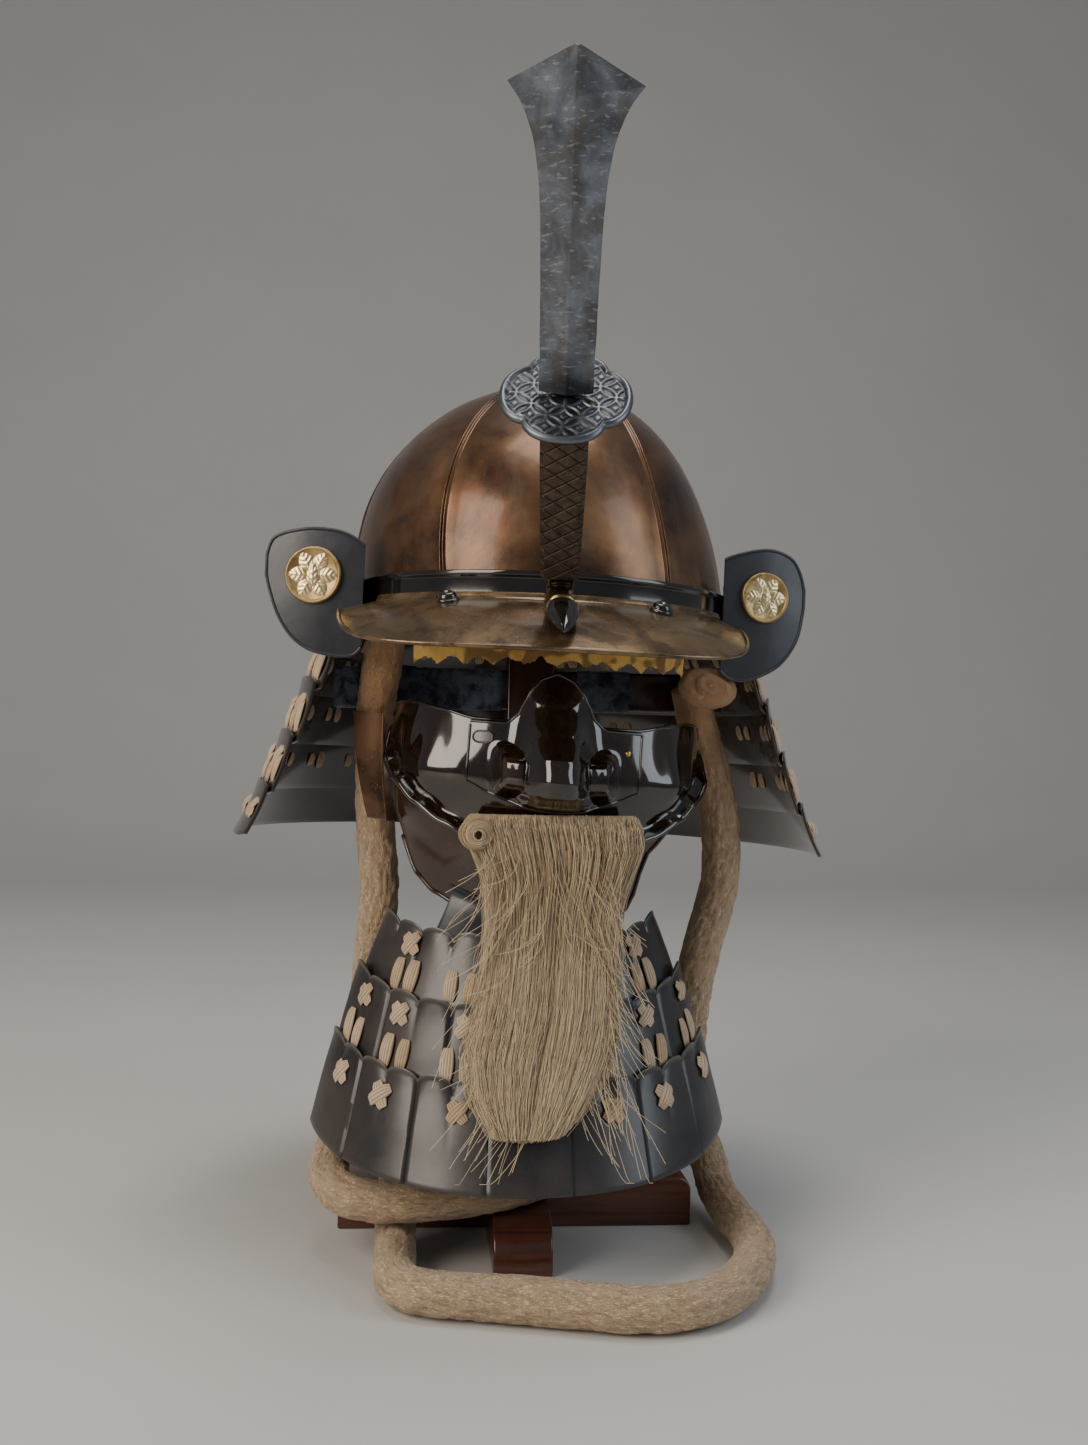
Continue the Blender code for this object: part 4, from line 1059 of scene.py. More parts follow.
def build_peak():
    columns = 130
    angles = []
    for i in range(columns + 1):
        u = 2 * i / columns - 1
        angles.append(PEAK_SPAN * math.copysign(1 - (1 - abs(u)) ** 1.18, u))
    grid = [peak_line(d, 22) for d in angles]
    rim = []
    for d in angles:
        edge = peak_rim(d)
        out = (edge - oval(BOWL_A + 7.2, BOWL_B + 7.2, d, -12.2)).normalized()
        rim.append(edge + out * 0.7 - Vector((0, 0, 0.1)))
    plate("peak_plate", grid, PEAK_T * 0.75, [peak_lacquer(), bead_iron()], lambda p: Vector((0, -0.3, 1)), "peak",
          HELMET, 0.2, [(rim, 1.25, False, 1)], 50.0)
    profile = [
        (0.8, 3.1), (1.6, 3.7), (2.6, 4.0), (3.8, 3.55), (4.7, 2.5), (5.1, 1.5), (5.2, 1.1), (5.7, 1.15), (6.2, 0.7),
        (6.3, 0.0), (1.0, 0.0),
    ]
    for side, x, y, tilt in (("left", -57.5, -118.0, -0.12), ("right", 53.5, -120.0, 0.12)):
        bm = bmesh.new()
        turned(bm, profile, 40, facing((x, y, -13.2), (tilt, -0.42, 0.9)))
        made("peak_boss_" + side, bm, [band_lacquer()], "peak_rivet_" + side, HELMET, 60.0)


# Crest
def guard_ring(scale, z, points):
    ring = []
    for k in range(points):
        a = 2 * math.pi * (k + 0.5) / points
        notch = 1 - 0.13 * (1 - abs(math.cos(2 * a))) ** 2.2
        ring.append(Vector((GUARD_A * math.cos(a) * notch * scale, GUARD_B * math.sin(a) * notch * scale, z)))
    return ring


def linked_circles(x, y, r=7.6, line=0.75):
    """Height, from 0 to 1, of a pattern of linked circles with a small square in each."""
    best = 0.0
    step = r
    i0, j0 = round(x / step), round(y / step)
    for i in range(i0 - 2, i0 + 3):
        for j in range(j0 - 2, j0 + 3):
            if (i + j) % 2:
                continue
            away = math.hypot(x - i * step, y - j * step)
            best = max(best, bump(away, r, line, 3))
            if max(abs(x - i * step) + abs(y - j * step), 0.0) < 1.9:
                best = max(best, 0.8)
    return best


def build_guard():
    relief = sizes().relief / MM
    points, rings = 288, 44
    loops, heights = [], []

    def add_ring(scale, z, raised=0.0):
        loops.append(guard_ring(scale, z, points))
        heights.append([raised] * points)

    add_ring(0.10, -1.2)
    add_ring(0.86, -1.2)
    for k in range(9):
        a = math.pi * k / 8
        add_ring(0.925 + 0.075 * math.sin(a), -2.05 * math.cos(a), 1.0 if k > 3 else 0.3)
    for k in range(rings):
        scale = lerp(0.885, 0.18, k / (rings - 1))
        ring = guard_ring(scale, 0.9, points)
        edge = min(1.0, max(0.0, (0.885 - scale) / 0.03))
        row = [linked_circles(p.x, p.y) * edge for p in ring]
        for p, h in zip(ring, row):
            p.z = 0.75 + relief * h
        loops.append(ring)
        heights.append(row)
    bm = bmesh.new()
    layer = bm.verts.layers.float.new("raised")
    rows = skin(bm, loops, closed=True)
    for row, levels in zip(rows, heights):
        for v, h in zip(row, levels):
            v[layer] = h
    lid(bm, rows[0])
    lid(bm, rows[-1][::-1])
    place = CREST @ move(0, 0, GUARD_AT) @ turn("X", GUARD_TILT)
    made("crest_guard_relief", bm, [guard_iron()], "crest_guard", place, 60.0)


def blade_line(table, z):
    for (z0, *a), (z1, *b) in zip(table, table[1:]):
        if z <= z1:
            t = (z - z0) / (z1 - z0)
            return [lerp(u, v, t) for u, v in zip(a, b)]
    return list(table[-1][1:])


def build_blade():
    table = [Vector((z, w, t)) for z, w, t in (
        (100.4, 24.6, 6.0), (130, 25, 6.6), (172, 26.2, 7.4), (191, 27.8, 8.0), (205, 30.4, 8.6), (213, 33.4, 9.0),
        (220, 37.4, 9.4), (227, 43.6, 9.8), (232.5, BLADE_TIP_W, 10.2),
    )]
    fine = smooth_route(table, 6)
    loops = []
    for i, (z, width, thick) in enumerate(fine):
        w, t = width / 2, thick / 2
        up = 3.6 * max(0.0, (z - 226.0) / 6.5)
        uneven = noise.noise(Vector((z * 0.09, 2.0, 5.0))) * 0.35
        half = []
        for k in range(9):
            s = k / 8
            half.append(Vector((lerp(-w - uneven, 0, s), lerp(0, -t, s), lerp(z + up, z, s))))
        other = [Vector((-p.x, p.y, p.z)) for p in half[-2::-1]]
        front = half + other
        back = [Vector((p.x, -p.y, p.z)) for p in front[-2:0:-1]]
        loops.append(front + back)
    last = loops[-1]
    tip = Vector((0, 0, 251.6))
    for k in range(1, 13):
        t = k / 12.6
        loops.append([p.lerp(tip, t) for p in last])
    bm = bmesh.new()
    rows = skin(bm, loops, closed=True)
    lid(bm, rows[0])
    lid(bm, rows[-1][::-1])
    mesh = made("blade", bm, [blade_steel()], "crest_blade", CREST, 12.0)
    return mesh


def hilt_section(along, width, thick, chamfer=2.2):
    x, y, c = width / 2, thick / 2, chamfer
    corners = [(-x, c - y), (c - x, -y), (x - c, -y), (x, c - y), (x, y - c), (x - c, y), (c - x, y), (-x, y - c)]
    section = []
    for (x0, y0), (x1, y1) in zip(corners, corners[1:] + corners[:1]):
        for k in range(6):
            section.append(Vector((lerp(x0, x1, k / 6), lerp(y0, y1, k / 6), along)))
    return section


def build_hilt():
    table = [Vector(row) for row in (
        (1.6, 18.2, 10.6), (4.5, 19.4, 11.6), (45, 21.4, 12), (72, 22.4, 12), (HILT_TOP, 22.6, 12),
    )]
    fine = [Vector((0, 14.0, 7.0)), Vector((0.5, 16.4, 9.2))] + smooth_route(table, 10)
    loops = [hilt_section(*row) for row in fine]
    bm = bmesh.new()

    def flat_map(i, j):
        p = loops[i][j % len(loops[i])]
        return (p.x / 10.0, p.z / 10.0)

    rows = skin(bm, loops, closed=True, uv=flat_map)
    lid(bm, rows[0])
    lid(bm, rows[-1][::-1])
    made("hilt", bm, [hilt_iron()], "crest_hilt", CREST, 28.0)


def build_hook():
    bm = bmesh.new()
    spine = smooth_route([
        (-1.6, -126.0, -5.2), (-1.6, -132.0, -6.9), (-1.6, -137.0, -7.4), (-2.0, -141.6, -6.8), (-2.4, -145.4, -5.6),
        (-2.4, -149.4, -1.9),
    ], 8)
    loops = []
    for i, p in enumerate(spine):
        a, b = spine[max(0, i - 1)], spine[min(len(spine) - 1, i + 1)]
        ahead = (b - a).normalized()
        side = Vector((1, 0, 0))
        up = ahead.cross(side).normalized()
        half = 7.1
        loops.append([
            p + side * (half * math.copysign(abs(math.cos(t)) ** 0.35, math.cos(t)))
            + up * (2.5 * math.copysign(abs(math.sin(t)) ** 0.6, math.sin(t)))
            for t in (2 * math.pi * k / 32 for k in range(32))
        ])
    rows = skin(bm, loops, closed=True)
    lid(bm, rows[0])
    lid(bm, rows[-1][::-1])
    made("hook", bm, [band_lacquer()], "crest_hook", HELMET, 50.0)
    place = facing((-1.2, -143.6, -12.9), (-0.03, -0.852, -0.523)) @ Matrix.Diagonal((1.0, 0.62, 1.0, 1.0))
    nut = [
        (0.6, 36.0), (1.5, 34.6), (3.2, 32.2), (4.8, 28.6), (6.2, 23.8), (7.3, 19.0), (8.0, 14.6), (8.35, 11.0),
        (8.3, 9.2), (7.9, 7.9), (7.0, 6.9), (5.6, 6.4), (5.4, 5.9), (4.8, 4.0), (4.9, 2.2), (3.6, -0.4), (1.0, -1.5),
    ]
    bm = bmesh.new()
    turned(bm, nut, 48, place)
    made("acorn", bm, [acorn_lacquer()], "hook_acorn", HELMET, 60.0)
    bm = bmesh.new()
    for height, radius, thick in ((5.1, 6.1, 0.75), (3.0, 5.6, 0.65)):
        turn_points = [2 * math.pi * k / 40 for k in range(40)]
        line = [place @ Vector((radius * math.cos(a), radius * math.sin(a), height)) for a in turn_points]
        tube(bm, line, thick, 8, True)
    made("acorn_rings", bm, [ring_gold()], (), HELMET, 60.0)


# Wings and discs
WING_LEFT = [
    (-102, 17, -38), (-106, 20, -42), (-113, 23.5, -43), (-121, 25, -42.3), (-131, 25.3, -39.5),
    (-140, 24, -33), (-147.5, 22, -22), (-152.5, 18.5, -9), (-155, 11, 0),
]
WING_RIGHT = [
    (97, 22, -40), (101, 24, -43.5), (108, 26.3, -45), (116, 28.3, -43.5), (124, 29, -40),
    (131.5, 27.6, -35), (138, 24, -27), (142.5, 16.5, -17), (145, 8, -2),
]


def wing_y(x, left):
    root, start, length = (-102.0, -76.0, 53.0) if left else (97.0, -68.5, 48.0)
    out = abs(x - root)
    return start + 0.20 * out - 2.2 * math.sin(math.pi * out / length)


def build_wing(side, outline):
    left = side == "left"
    fine = smooth_route(outline, 7)
    grid = []
    for x, top, foot in fine:
        heights = [lerp(top, foot, j / 30) for j in range(31)]
        line = [Vector((x, wing_y(x, left) + 1.6 * (z / 40.0) ** 2, z)) for z in heights]
        grid.append([p + Vector((0, 0.25 * noise.noise(p * 0.05), 0)) for p in line])
    last = grid[-1]
    border = [row[0] for row in grid] + last[1:-1:2] + [row[-1] for row in grid[::-1]]
    border = [p + Vector((0, -0.1, 0)) for p in border]
    plate("wing_panel_" + side, grid, 1.6, [wing_leather(), wing_edge()], toward_front, "wing_" + side,
          HELMET, 0.25, [(border, 0.85, False, 1)], 50.0)


def leaf(bm, layer, place, length, width, rise, along=22, across=17):
    """A ribbed leaf: pointed, domed, with a midrib and slanting side ribs."""
    rows = []
    for i in range(along + 1):
        v = i / along
        half = width / 2 * math.sin(math.pi * v**0.8) ** 0.75
        row = []
        for j in range(across + 1):
            u = 2 * j / across - 1
            dome = rise * (1 - u * u) ** 0.5 * math.sin(math.pi * v) ** 0.5
            slant = math.sin(2 * math.pi * (v * 4.2 - abs(u) * 1.2)) * 0.16 * (1 - abs(u) ** 4)
            midrib = 0.28 * bump(u, 0, 0.10)
            row.append((Vector((half * u, length * v, dome + (slant + midrib) * min(1.0, 6 * v * (1 - v)))), dome, slant))
        rows.append(row)
    verts = skin(bm, [[place @ p for p, _, _ in row] for row in rows])
    for row, line in zip(verts, rows):
        for v, (_, dome, slant) in zip(row, line):
            v[layer] = min(1.0, 0.25 + 0.55 * dome / rise + 1.8 * slant)


def build_disc(side, x, z, r):
    left = side == "left"
    slope = (wing_y(x + 1, left) - wing_y(x - 1, left)) / 2
    normal = Vector((slope, -1.0, 0.0)).normalized()
    at = Vector((x, wing_y(x, left), z)) + normal * (GAP + 0.1)
    place = facing(at, normal)
    bm = bmesh.new()
    layer = bm.verts.layers.float.new("raised")
    turned(bm, [
        (1.0, 1.25), (r - 2.4, 1.1), (r - 1.9, 1.5), (r - 1.4, 2.0), (r - 0.8, 2.1), (r - 0.25, 1.6), (r, 0.9), (r, 0),
        (1.0, 0),
    ], 64, place)
    for k in range(6):
        spin = place @ turn("Z", 60.0 * k + 30.0) @ move(0, r * 0.20, 1.0) @ turn("X", -2.0)
        leaf(bm, layer, spin, r * 0.72, r * 0.62, 0.9)
    leaf(bm, layer, place @ move(0, -r * 0.42, 1.5), r * 0.86, r * 0.50, 1.0)
    made("leaf_disc_" + side, bm, [disc_gold()], "wing_disc_" + side, HELMET, 60.0, recalc=False)


# Neck guard
LAMES = [
    ((126.3, 140.8, -27.0), (136.0, 150.0, -61.0)),
    ((136.8, 150.8, -52.0), (147.0, 158.6, -91.0)),
    ((147.3, 159.3, -82.0), (159.0, 166.6, -119.0)),
    ((158.9, 167.0, -111.0), (172.0, 174.6, -142.0)),
]


def lame_point(k, degrees, t, out=0.0):
    """On the outer side of lame k + 2, t from its top to its foot."""
    tip = 66.0 + k
    drop = abs(2 * (degrees - tip) / (360 - 2 * tip) - 1) ** 3
    a, b, z = (lerp(u, v, t) for u, v in zip(*LAMES[k]))
    bow = -1.2 * math.sin(math.pi * t) + out
    return oval(a + bow, b + bow, degrees, z - drop)


def end_line(x, y, top, foot, splay):
    return [(x, y, top), (x + 0.13 * splay, y, lerp(top, foot, 0.4)), (x + splay, y, foot)]


def first_lame_grid(stations):
    grid = [end_line(-104.6, -71.9, 12.0, -38.0, -3.0), end_line(-105.0, -66.0, 6.0, -37.0, -3.0)]
    for i in range(stations + 1):
        degrees = lerp(-64.0, -296.0, i / stations)
        ramp = max(0.0, 1 - min(i, stations - i) * 10 / stations)
        grid.append([
            oval(BOWL_A + 7.8, BOWL_B + 7.8, degrees, lerp(-3.0, 2.0, ramp)),
            oval(BOWL_A + 8.4, BOWL_B + 8.4, degrees, -12.0),
            oval(BOWL_A + 18.0, BOWL_B + 18.0, degrees, -36.0),
        ])
    return grid + [end_line(101.0, -58.0, 8.0, -38.0, 3.0), end_line(101.0, -64.3, 14.0, -39.0, 3.0)]


def build_neck_guard():
    mats = [lame_lacquer(), lame_edge()]
    plate("neck_plate_1", first_lame_grid(120), LAME_T, mats, level_out, "neck_lame_1",
          HELMET, 0.35)
    for k in range(4):
        tip = 66.0 + k
        grid = []
        for i in range(141):
            degrees = lerp(tip, 360 - tip, i / 140)
            corner = min(i, 140 - i)
            cut = 0.10 * max(0.0, 1 - corner / 3.0)
            line = []
            for j in range(11):
                t = lerp(cut, 1.0 - cut * 0.6, j / 10)
                wave = 0.25 * noise.noise(Vector((degrees * 0.05, t * 2.0, k * 7.0)))
                line.append(lame_point(k, degrees, t, wave))
            grid.append(line)
        plate("neck_plate_%d" % (k + 2), grid, LAME_T, mats, level_out, "neck_lame_%d" % (k + 2),
              HELMET, 0.35)


def build_lining(stations=240):
    grid = []
    for i in range(stations + 1):
        degrees = lerp(-46, 46, i / stations)
        tooth = abs((i / stations * 20) % 2 - 1)
        torn = 1.8 * noise.noise(Vector((degrees * 0.35, 3.0, 1.0))) + 0.9 * noise.noise(Vector((degrees * 1.4, 8.0, 1.0)))
        foot = -41.0 - 4.0 * tooth + torn
        row = []
        for j in range(9):
            t = j / 8
            z = lerp(-2.0, foot, t)
            inset = lerp(3.8, 5.6, t) + 0.5 * noise.noise(Vector((degrees * 0.2, t * 3.0, 0.0)))
            row.append(oval(BOWL_A - inset, BOWL_B - inset, degrees, z))
        grid.append(row)
    plate("brow_leather", grid, 1.1, [lining()], level_out, "brow_lining", HELMET, 0.0)


# Stand
def refined_node(node, name, mat, width, segments=3):
    """A copy of a node's solid with its loose triangles merged and its edges rounded."""
    bm = bmesh.new()
    bm.from_mesh(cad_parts[node].data)
    bmesh.ops.remove_doubles(bm, verts=bm.verts, dist=0.00001)
    bmesh.ops.dissolve_limit(bm, angle_limit=math.radians(1.0), verts=bm.verts, edges=bm.edges)
    mesh = bpy.data.meshes.new(name)
    bm.to_mesh(mesh)
    bm.free()
    mesh.materials.clear()
    blank = bpy.data.objects.new(name + "_blank", mesh)
    bpy.context.scene.collection.objects.link(blank)
    rounded = blank.modifiers.new("edge", "BEVEL")
    rounded.width = width * MM
    rounded.segments = segments
    rounded.limit_method = "ANGLE"
    rounded.angle_limit = math.radians(40.0)
    return finished(name, applied(blank), [mat], node, 35.0)


def build_stand():
    refined_node("stand_plank", "plank", stand_wood(), 1.2)
    refined_node("stand_foot", "foot", stand_wood(), 1.0)
    refined_node("stand_post", "post", post_wood(), 1.0)
    refined_node("stand_bar", "bar", post_wood(), 0.8)
    refined_node("mask_rest", "rest", post_wood(), 0.8)
    head = [
        (6.0, 122.4), (12.6, 122.2), (20, 119.6), (27, 115.8), (34, 111.4), (40, 106.6), (46.4, 100.6), (52, 93.6),
        (54.8, 86.4), (55.8, 78), (54.0, 71.6), (48, 66), (34, 62.2), (12.4, 58), (12, 40), (12, -18.6), (4, -18.6),
    ]
    bm = bmesh.new()
    turned(bm, head, 72, move(-0.6, 0, 0))
    made("head_form", bm, [post_wood()], "head_block", HELMET)
    bm = bmesh.new()
    for x0, x1 in ((-110.6, -95.6), (-74.8, -12.3), (31.6, 62.8)):
        steps = max(6, int((x1 - x0) / 1.6))
        loops = []
        for i in range(steps + 1):
            x = lerp(x0, x1, i / steps)
            ragged = 0.7 if 0 < i < steps else 0.25
            ring = []
            for k in range(64):
                a = 2 * math.pi * k / 64
                c, s = math.cos(a), math.sin(a)
                y = -0.5 + (9.5 + ragged) * math.copysign(abs(c) ** 0.22, c)
                z = 309.5 + (11.5 + ragged) * math.copysign(abs(s) ** 0.22, s)
                p = Vector((x, y, z))
                nap = 0.30 * noise.noise(p * 0.9) + 0.2 * noise.noise(p * 0.35)
                ring.append(p + Vector((nap * 1.5, nap * c, nap * s)))
            loops.append(ring)
        rows = skin(bm, loops, closed=True)
        lid(bm, rows[0])
        lid(bm, rows[-1][::-1])
    made("bar_velvet", bm, [velvet()], (), smooth=60.0)


# Mask
CHEEK_TOP = [(0, 291), (30, 291), (45, 294.5), (60, 297), (78, 296), (84, 288.5)]
CHEEK_FOOT = [(0, 224), (24, 229), (38, 237), (50, 246), (62, 257), (74, 270), (84, 284)]
JAW_FOOT = [
    (-78, 222), (-65, 203), (-52, 195), (-38, 190), (-18, 183), (0, 180), (18, 182), (34, 187), (41, 193),
    (44, 201), (47, 226), (56, 240), (68, 256), (78, 264),
]
NOSE_TOP = [(0, 317.5), (8, 314.5), (13, 309), (17, 302), (20, 295), (26, 290.0), (46, 289.5)]
NOSE_FOOT = [(0, 245), (12, 246), (26, 250), (34, 253), (46, 258)]
NOSE_RIDGE = [(245, 5), (249, 19), (254, 27), (262, 29), (272, 25), (285, 16), (300, 9), (317, 3)]
NOSE_HALF = 46.0


def mask_point(degrees, z, lift=0.0):
    lift -= 4.0 * ((z - 268.0) / 40.0) ** 2
    return oval(MASK_A + lift, MASK_B + lift, degrees, z, MASK_Y)


def cheekbone(degrees, z):
    return 5.0 * bump(abs(degrees), 46, 17) * bump(z, 262, 13)


def cheek_line(degrees, rows):
    top, foot = through(CHEEK_TOP, abs(degrees)), through(CHEEK_FOOT, abs(degrees))
    flare = min(1.0, (CHEEK_SPAN - abs(degrees)) / 14.0)
    line = []
    for j in range(rows + 1):
        z = lerp(top, foot + 3.5, j / rows)
        folds = 0.5 * math.sin((abs(degrees) - 30.0) * 0.42) * bump(z, 268, 18) * bump(abs(degrees), 55, 22)
        line.append(mask_point(degrees, z, cheekbone(degrees, z) + folds))
    for k in range(1, 7):
        s = k / 6
        line.append(mask_point(degrees, foot + lerp(3.5, -2.0, s), 7.0 * flare * s**1.6))
    return line


def jaw_point(degrees, z, lift=0.0):
    base = mask_point(degrees, max(z, 224.0), lift - 2.4)
    chin = max(0.0, 236 - z) / 56.0
    return Vector((base.x * (1 - 0.15 * chin), base.y + 5.0 * chin * math.cos(math.radians(degrees)), z))


def nose_lift(x, z):
    ridge = through(NOSE_RIDGE, z)
    width = through([(262, 17), (285, 16), (317, 15)], z)
    body = ridge * bump(x, 0, width, 3.2)
    wing = 14.0 * bump(abs(x), 22.5, 8.5, 4) * bump(z, 264.5, 11.5, 4)
    return max(body, wing) + 0.25 * min(body, wing)


def nose_point(u, v):
    """u across the nose plate from -1 to 1, v from its top to its foot."""
    x = NOSE_HALF * math.copysign(abs(u) ** 1.15, u)
    top, foot = through(NOSE_TOP, abs(x)), through(NOSE_FOOT, abs(x))
    degrees = math.degrees(math.asin(x / (MASK_A + 1.8)))
    z = lerp(top, foot, v**0.92)
    base = mask_point(degrees, min(z, 292.0), 2.3 + cheekbone(degrees, z))
    lean_x = 0.055 * (z - 262.0) * max(0.0, 1 - (x / 44.0) ** 2)
    return Vector((x - lean_x, base.y - nose_lift(x, z), z))


def build_mask():
    mats = [mask_lacquer(), mask_lacquer()]
    angles = [lerp(-CHEEK_SPAN, CHEEK_SPAN, i / 132) for i in range(133)]
    grid = [cheek_line(d, 30) for d in angles]
    rim = [line[-1] for line in grid]
    brow = [line[0] for line in grid]
    plate("cheeks", grid, 1.8, mats, level_out, "mask_cheeks", MASK, 0.4,
          [(rim, 1.5, False, 0), (brow, 0.9, False, 0)], 50.0)
    angles = [lerp(-JAW_SPAN, JAW_SPAN, i / 120) for i in range(121)]
    grid = []
    for d in angles:
        top, foot = through(CHEEK_FOOT, abs(d)) + 6.0, through(JAW_FOOT, d)
        line = []
        for j in range(29):
            z = lerp(top, foot, j / 28)
            crease = 0.9 * bump(z - 0.5 * abs(abs(d) - 45), 216, 5)
            line.append(jaw_point(d, z, -crease * bump(abs(d), 50, 18)))
        grid.append(line)
    lower = [line[-1] for line in grid]
    plate("jaw", grid, 1.6, [jaw_lacquer(), jaw_lacquer()], level_out, "mask_jaw", MASK, 0.4,
          [(lower, 1.3, False, 0)], 50.0)
    grid = [[nose_point(2.0 * i / 150 - 1, j / 80) for j in range(81)] for i in range(151)]
    border = [line[0] for line in grid[::3]] + grid[-1][2:-1:3] + [line[-1] for line in grid[::-3]] + grid[0][-3:1:-3]
    border = evenly([Vector(p) for p in border], 1.6)
    plate("nose", grid, 1.5, mats, toward_front, "mask_nose", MASK, 0.3,
          [(border, 0.8, False, 0)], 60.0)
    coarse = []
    for z, x0, y0, x1, y1 in (
        (289, -110.0, -34.5, -94.5, -47.0), (258, -105.0, -36.5, -92.0, -48.5), (230, -97.0, -43.0, -87.5, -52.5),
    ):
        row = [(x0, y0, z), (lerp(x0, x1, 0.5), lerp(y0, y1, 0.5), z), (x1, y1, z), (x1 + 1.0, y1 - 4.4, z),
               (x1 + 2.2, y1 - 4.6, z)]
        away = 1.7 + (z - 230) / 12.0
        side = mask_point(-CHEEK_SPAN, z, away) if z > 280 else jaw_point(-77.0, z, away)
        coarse.append(row + [side])
    grid = refined(coarse, 14, 6)
    plate("side_plate", grid, 1.4, [plate_brown(), lame_edge()], toward_front, "mask_side_plate",
          MASK, 0.3, (), 50.0)
    build_mask_fittings()


def build_mask_fittings():
    """The slot in the nose flange and the small stud on its other side."""
    bm = bmesh.new()
    for u, v in ((-0.86, 0.20),):
        at, right, down = nose_point(u, v), nose_point(u + 0.04, v), nose_point(u, v + 0.05)
        normal = (right - at).cross(down - at).normalized()
        if normal.y > 0:
            normal = -normal
        place = facing(at + normal * 0.3, normal)
        ring = []
        for k in range(40):
            a = 2 * math.pi * k / 40
            ring.append(place @ Vector((
                5.4 * math.copysign(abs(math.cos(a)) ** 0.7, math.cos(a)),
                3.1 * math.copysign(abs(math.sin(a)) ** 0.8, math.sin(a)), 0.0,
            )))
        tube(bm, ring, 0.55, 8, True)
        hole = [bm.verts.new(p.lerp(place.translation, 0.06) - normal * 0.1) for p in ring]
        lid(bm, hole, 1)
    made("nose_slot", bm, [mask_lacquer(), lining()], (), MASK, 50.0, recalc=True)
    bm = bmesh.new()
    u, v = 0.86, 0.28
    at, right, down = nose_point(u, v), nose_point(u - 0.04, v), nose_point(u, v + 0.05)
    normal = (right - at).cross(down - at).normalized()
    if normal.y > 0:
        normal = -normal
    stud = [(0.3, 1.5), (0.9, 1.4), (1.5, 0.9), (1.8, 0.3), (1.8, -0.4), (0.4, -0.4)]
    turned(bm, stud, 20, facing(at, normal))
    made("nose_stud", bm, [ring_gold()], (), MASK, 60.0)


# Throat guard
THROAT = [
    ((76.0, 67.0, 181.0, 190.0), (90.5, 80.5, 138.0, 150.0), 10),
    ((91.3, 81.3, 147.0, 163.0), (103.5, 93.5, 100.0, 116.0), 12),
    ((104.0, 94.0, 111.0, 127.0), (117.0, 113.0, 58.0, 74.0), 14),
]


def throat_point(level, degrees, t, scallop=0.0, out=0.0):
    top, foot, _ = THROAT[level]
    a, b, z_front, z_tip = (lerp(u, v, t) for u, v in zip(top, foot))
    z = lerp(z_front, z_tip, (abs(degrees) / THROAT_SPAN) ** 2.6) - 4.2 * scallop * (1 - t) ** 3
    p = oval(a + out, b + out, degrees, z, THROAT_Y)
    p.x += THROAT_X
    return p


def build_throat_guard(fine=16, rows=30):
    for level, (top, foot, scallops) in enumerate(THROAT):
        steps = scallops * fine
        tall = top[2] - foot[2]
        bm_grid, grooves, paler = [], [], []
        for i in range(steps + 1):
            degrees = lerp(-THROAT_SPAN, THROAT_SPAN, i / steps)
            share = abs(math.sin(math.pi * i / fine))
            dip = 1 - share**0.55
            near = min(i % (2 * fine), 2 * fine - i % (2 * fine))
            joint = max(0.0, 1 - near / 0.9) if fine < i < steps - fine else 0.0
            line, dark, bright = [], [], []
            for j in range(rows + 1):
                t = (j / rows) ** 1.5
                from_top = t * tall
                low = 1 - math.exp(-from_top / 9.0)
                lip = 0.55 * math.exp(-((from_top / 1.7) ** 2))
                overlap = 0.5 * ((i / (2.0 * fine)) % 1.0) * low
                puff = 0.8 * share * math.exp(-((from_top / 8.0) ** 2))
                wave = 0.25 * noise.noise(Vector((degrees * 0.08, t * 3.0, level * 5.0)))
                line.append(throat_point(level, degrees, t, dip, lip + puff + overlap + wave - 0.7 * joint * low))
                dark.append(joint * low)
                # A thin band at each lame's top edge, made paler in the finish: partly wear, partly a painted highlight
                bright.append(math.exp(-((from_top / 1.1) ** 2)))
            bm_grid.append(line)
            grooves.append(dark)
            paler.append(bright)
        mesh = lame_mesh(level, bm_grid, grooves, paler)
        finished("throat_plate_%d" % (level + 1), mesh, [throat_lacquer(), throat_edge()],
                 "throat_lame_%d" % (level + 1), 40.0)
    strap = []
    for i in range(9):
        degrees = lerp(-42, 28, i / 8)
        foot = through(JAW_FOOT, degrees)
        middle = MASK @ jaw_point(degrees, foot + 1.0, 1.8 + GAP)
        side = math.atan2((middle.x - THROAT_X) / 76.2, (THROAT_Y - middle.y) / 67.1)
        low = Vector((THROAT_X + 76.2 * math.sin(side), THROAT_Y - 67.1 * math.cos(side), 171.0))
        strap.append([MASK @ jaw_point(degrees, foot + 9.0, 1.6 + GAP), middle, low])
    plate("strap", refined(strap, 4, 6), 1.2, [wing_leather()], level_out, "throat_strap", HERE, 0.2)


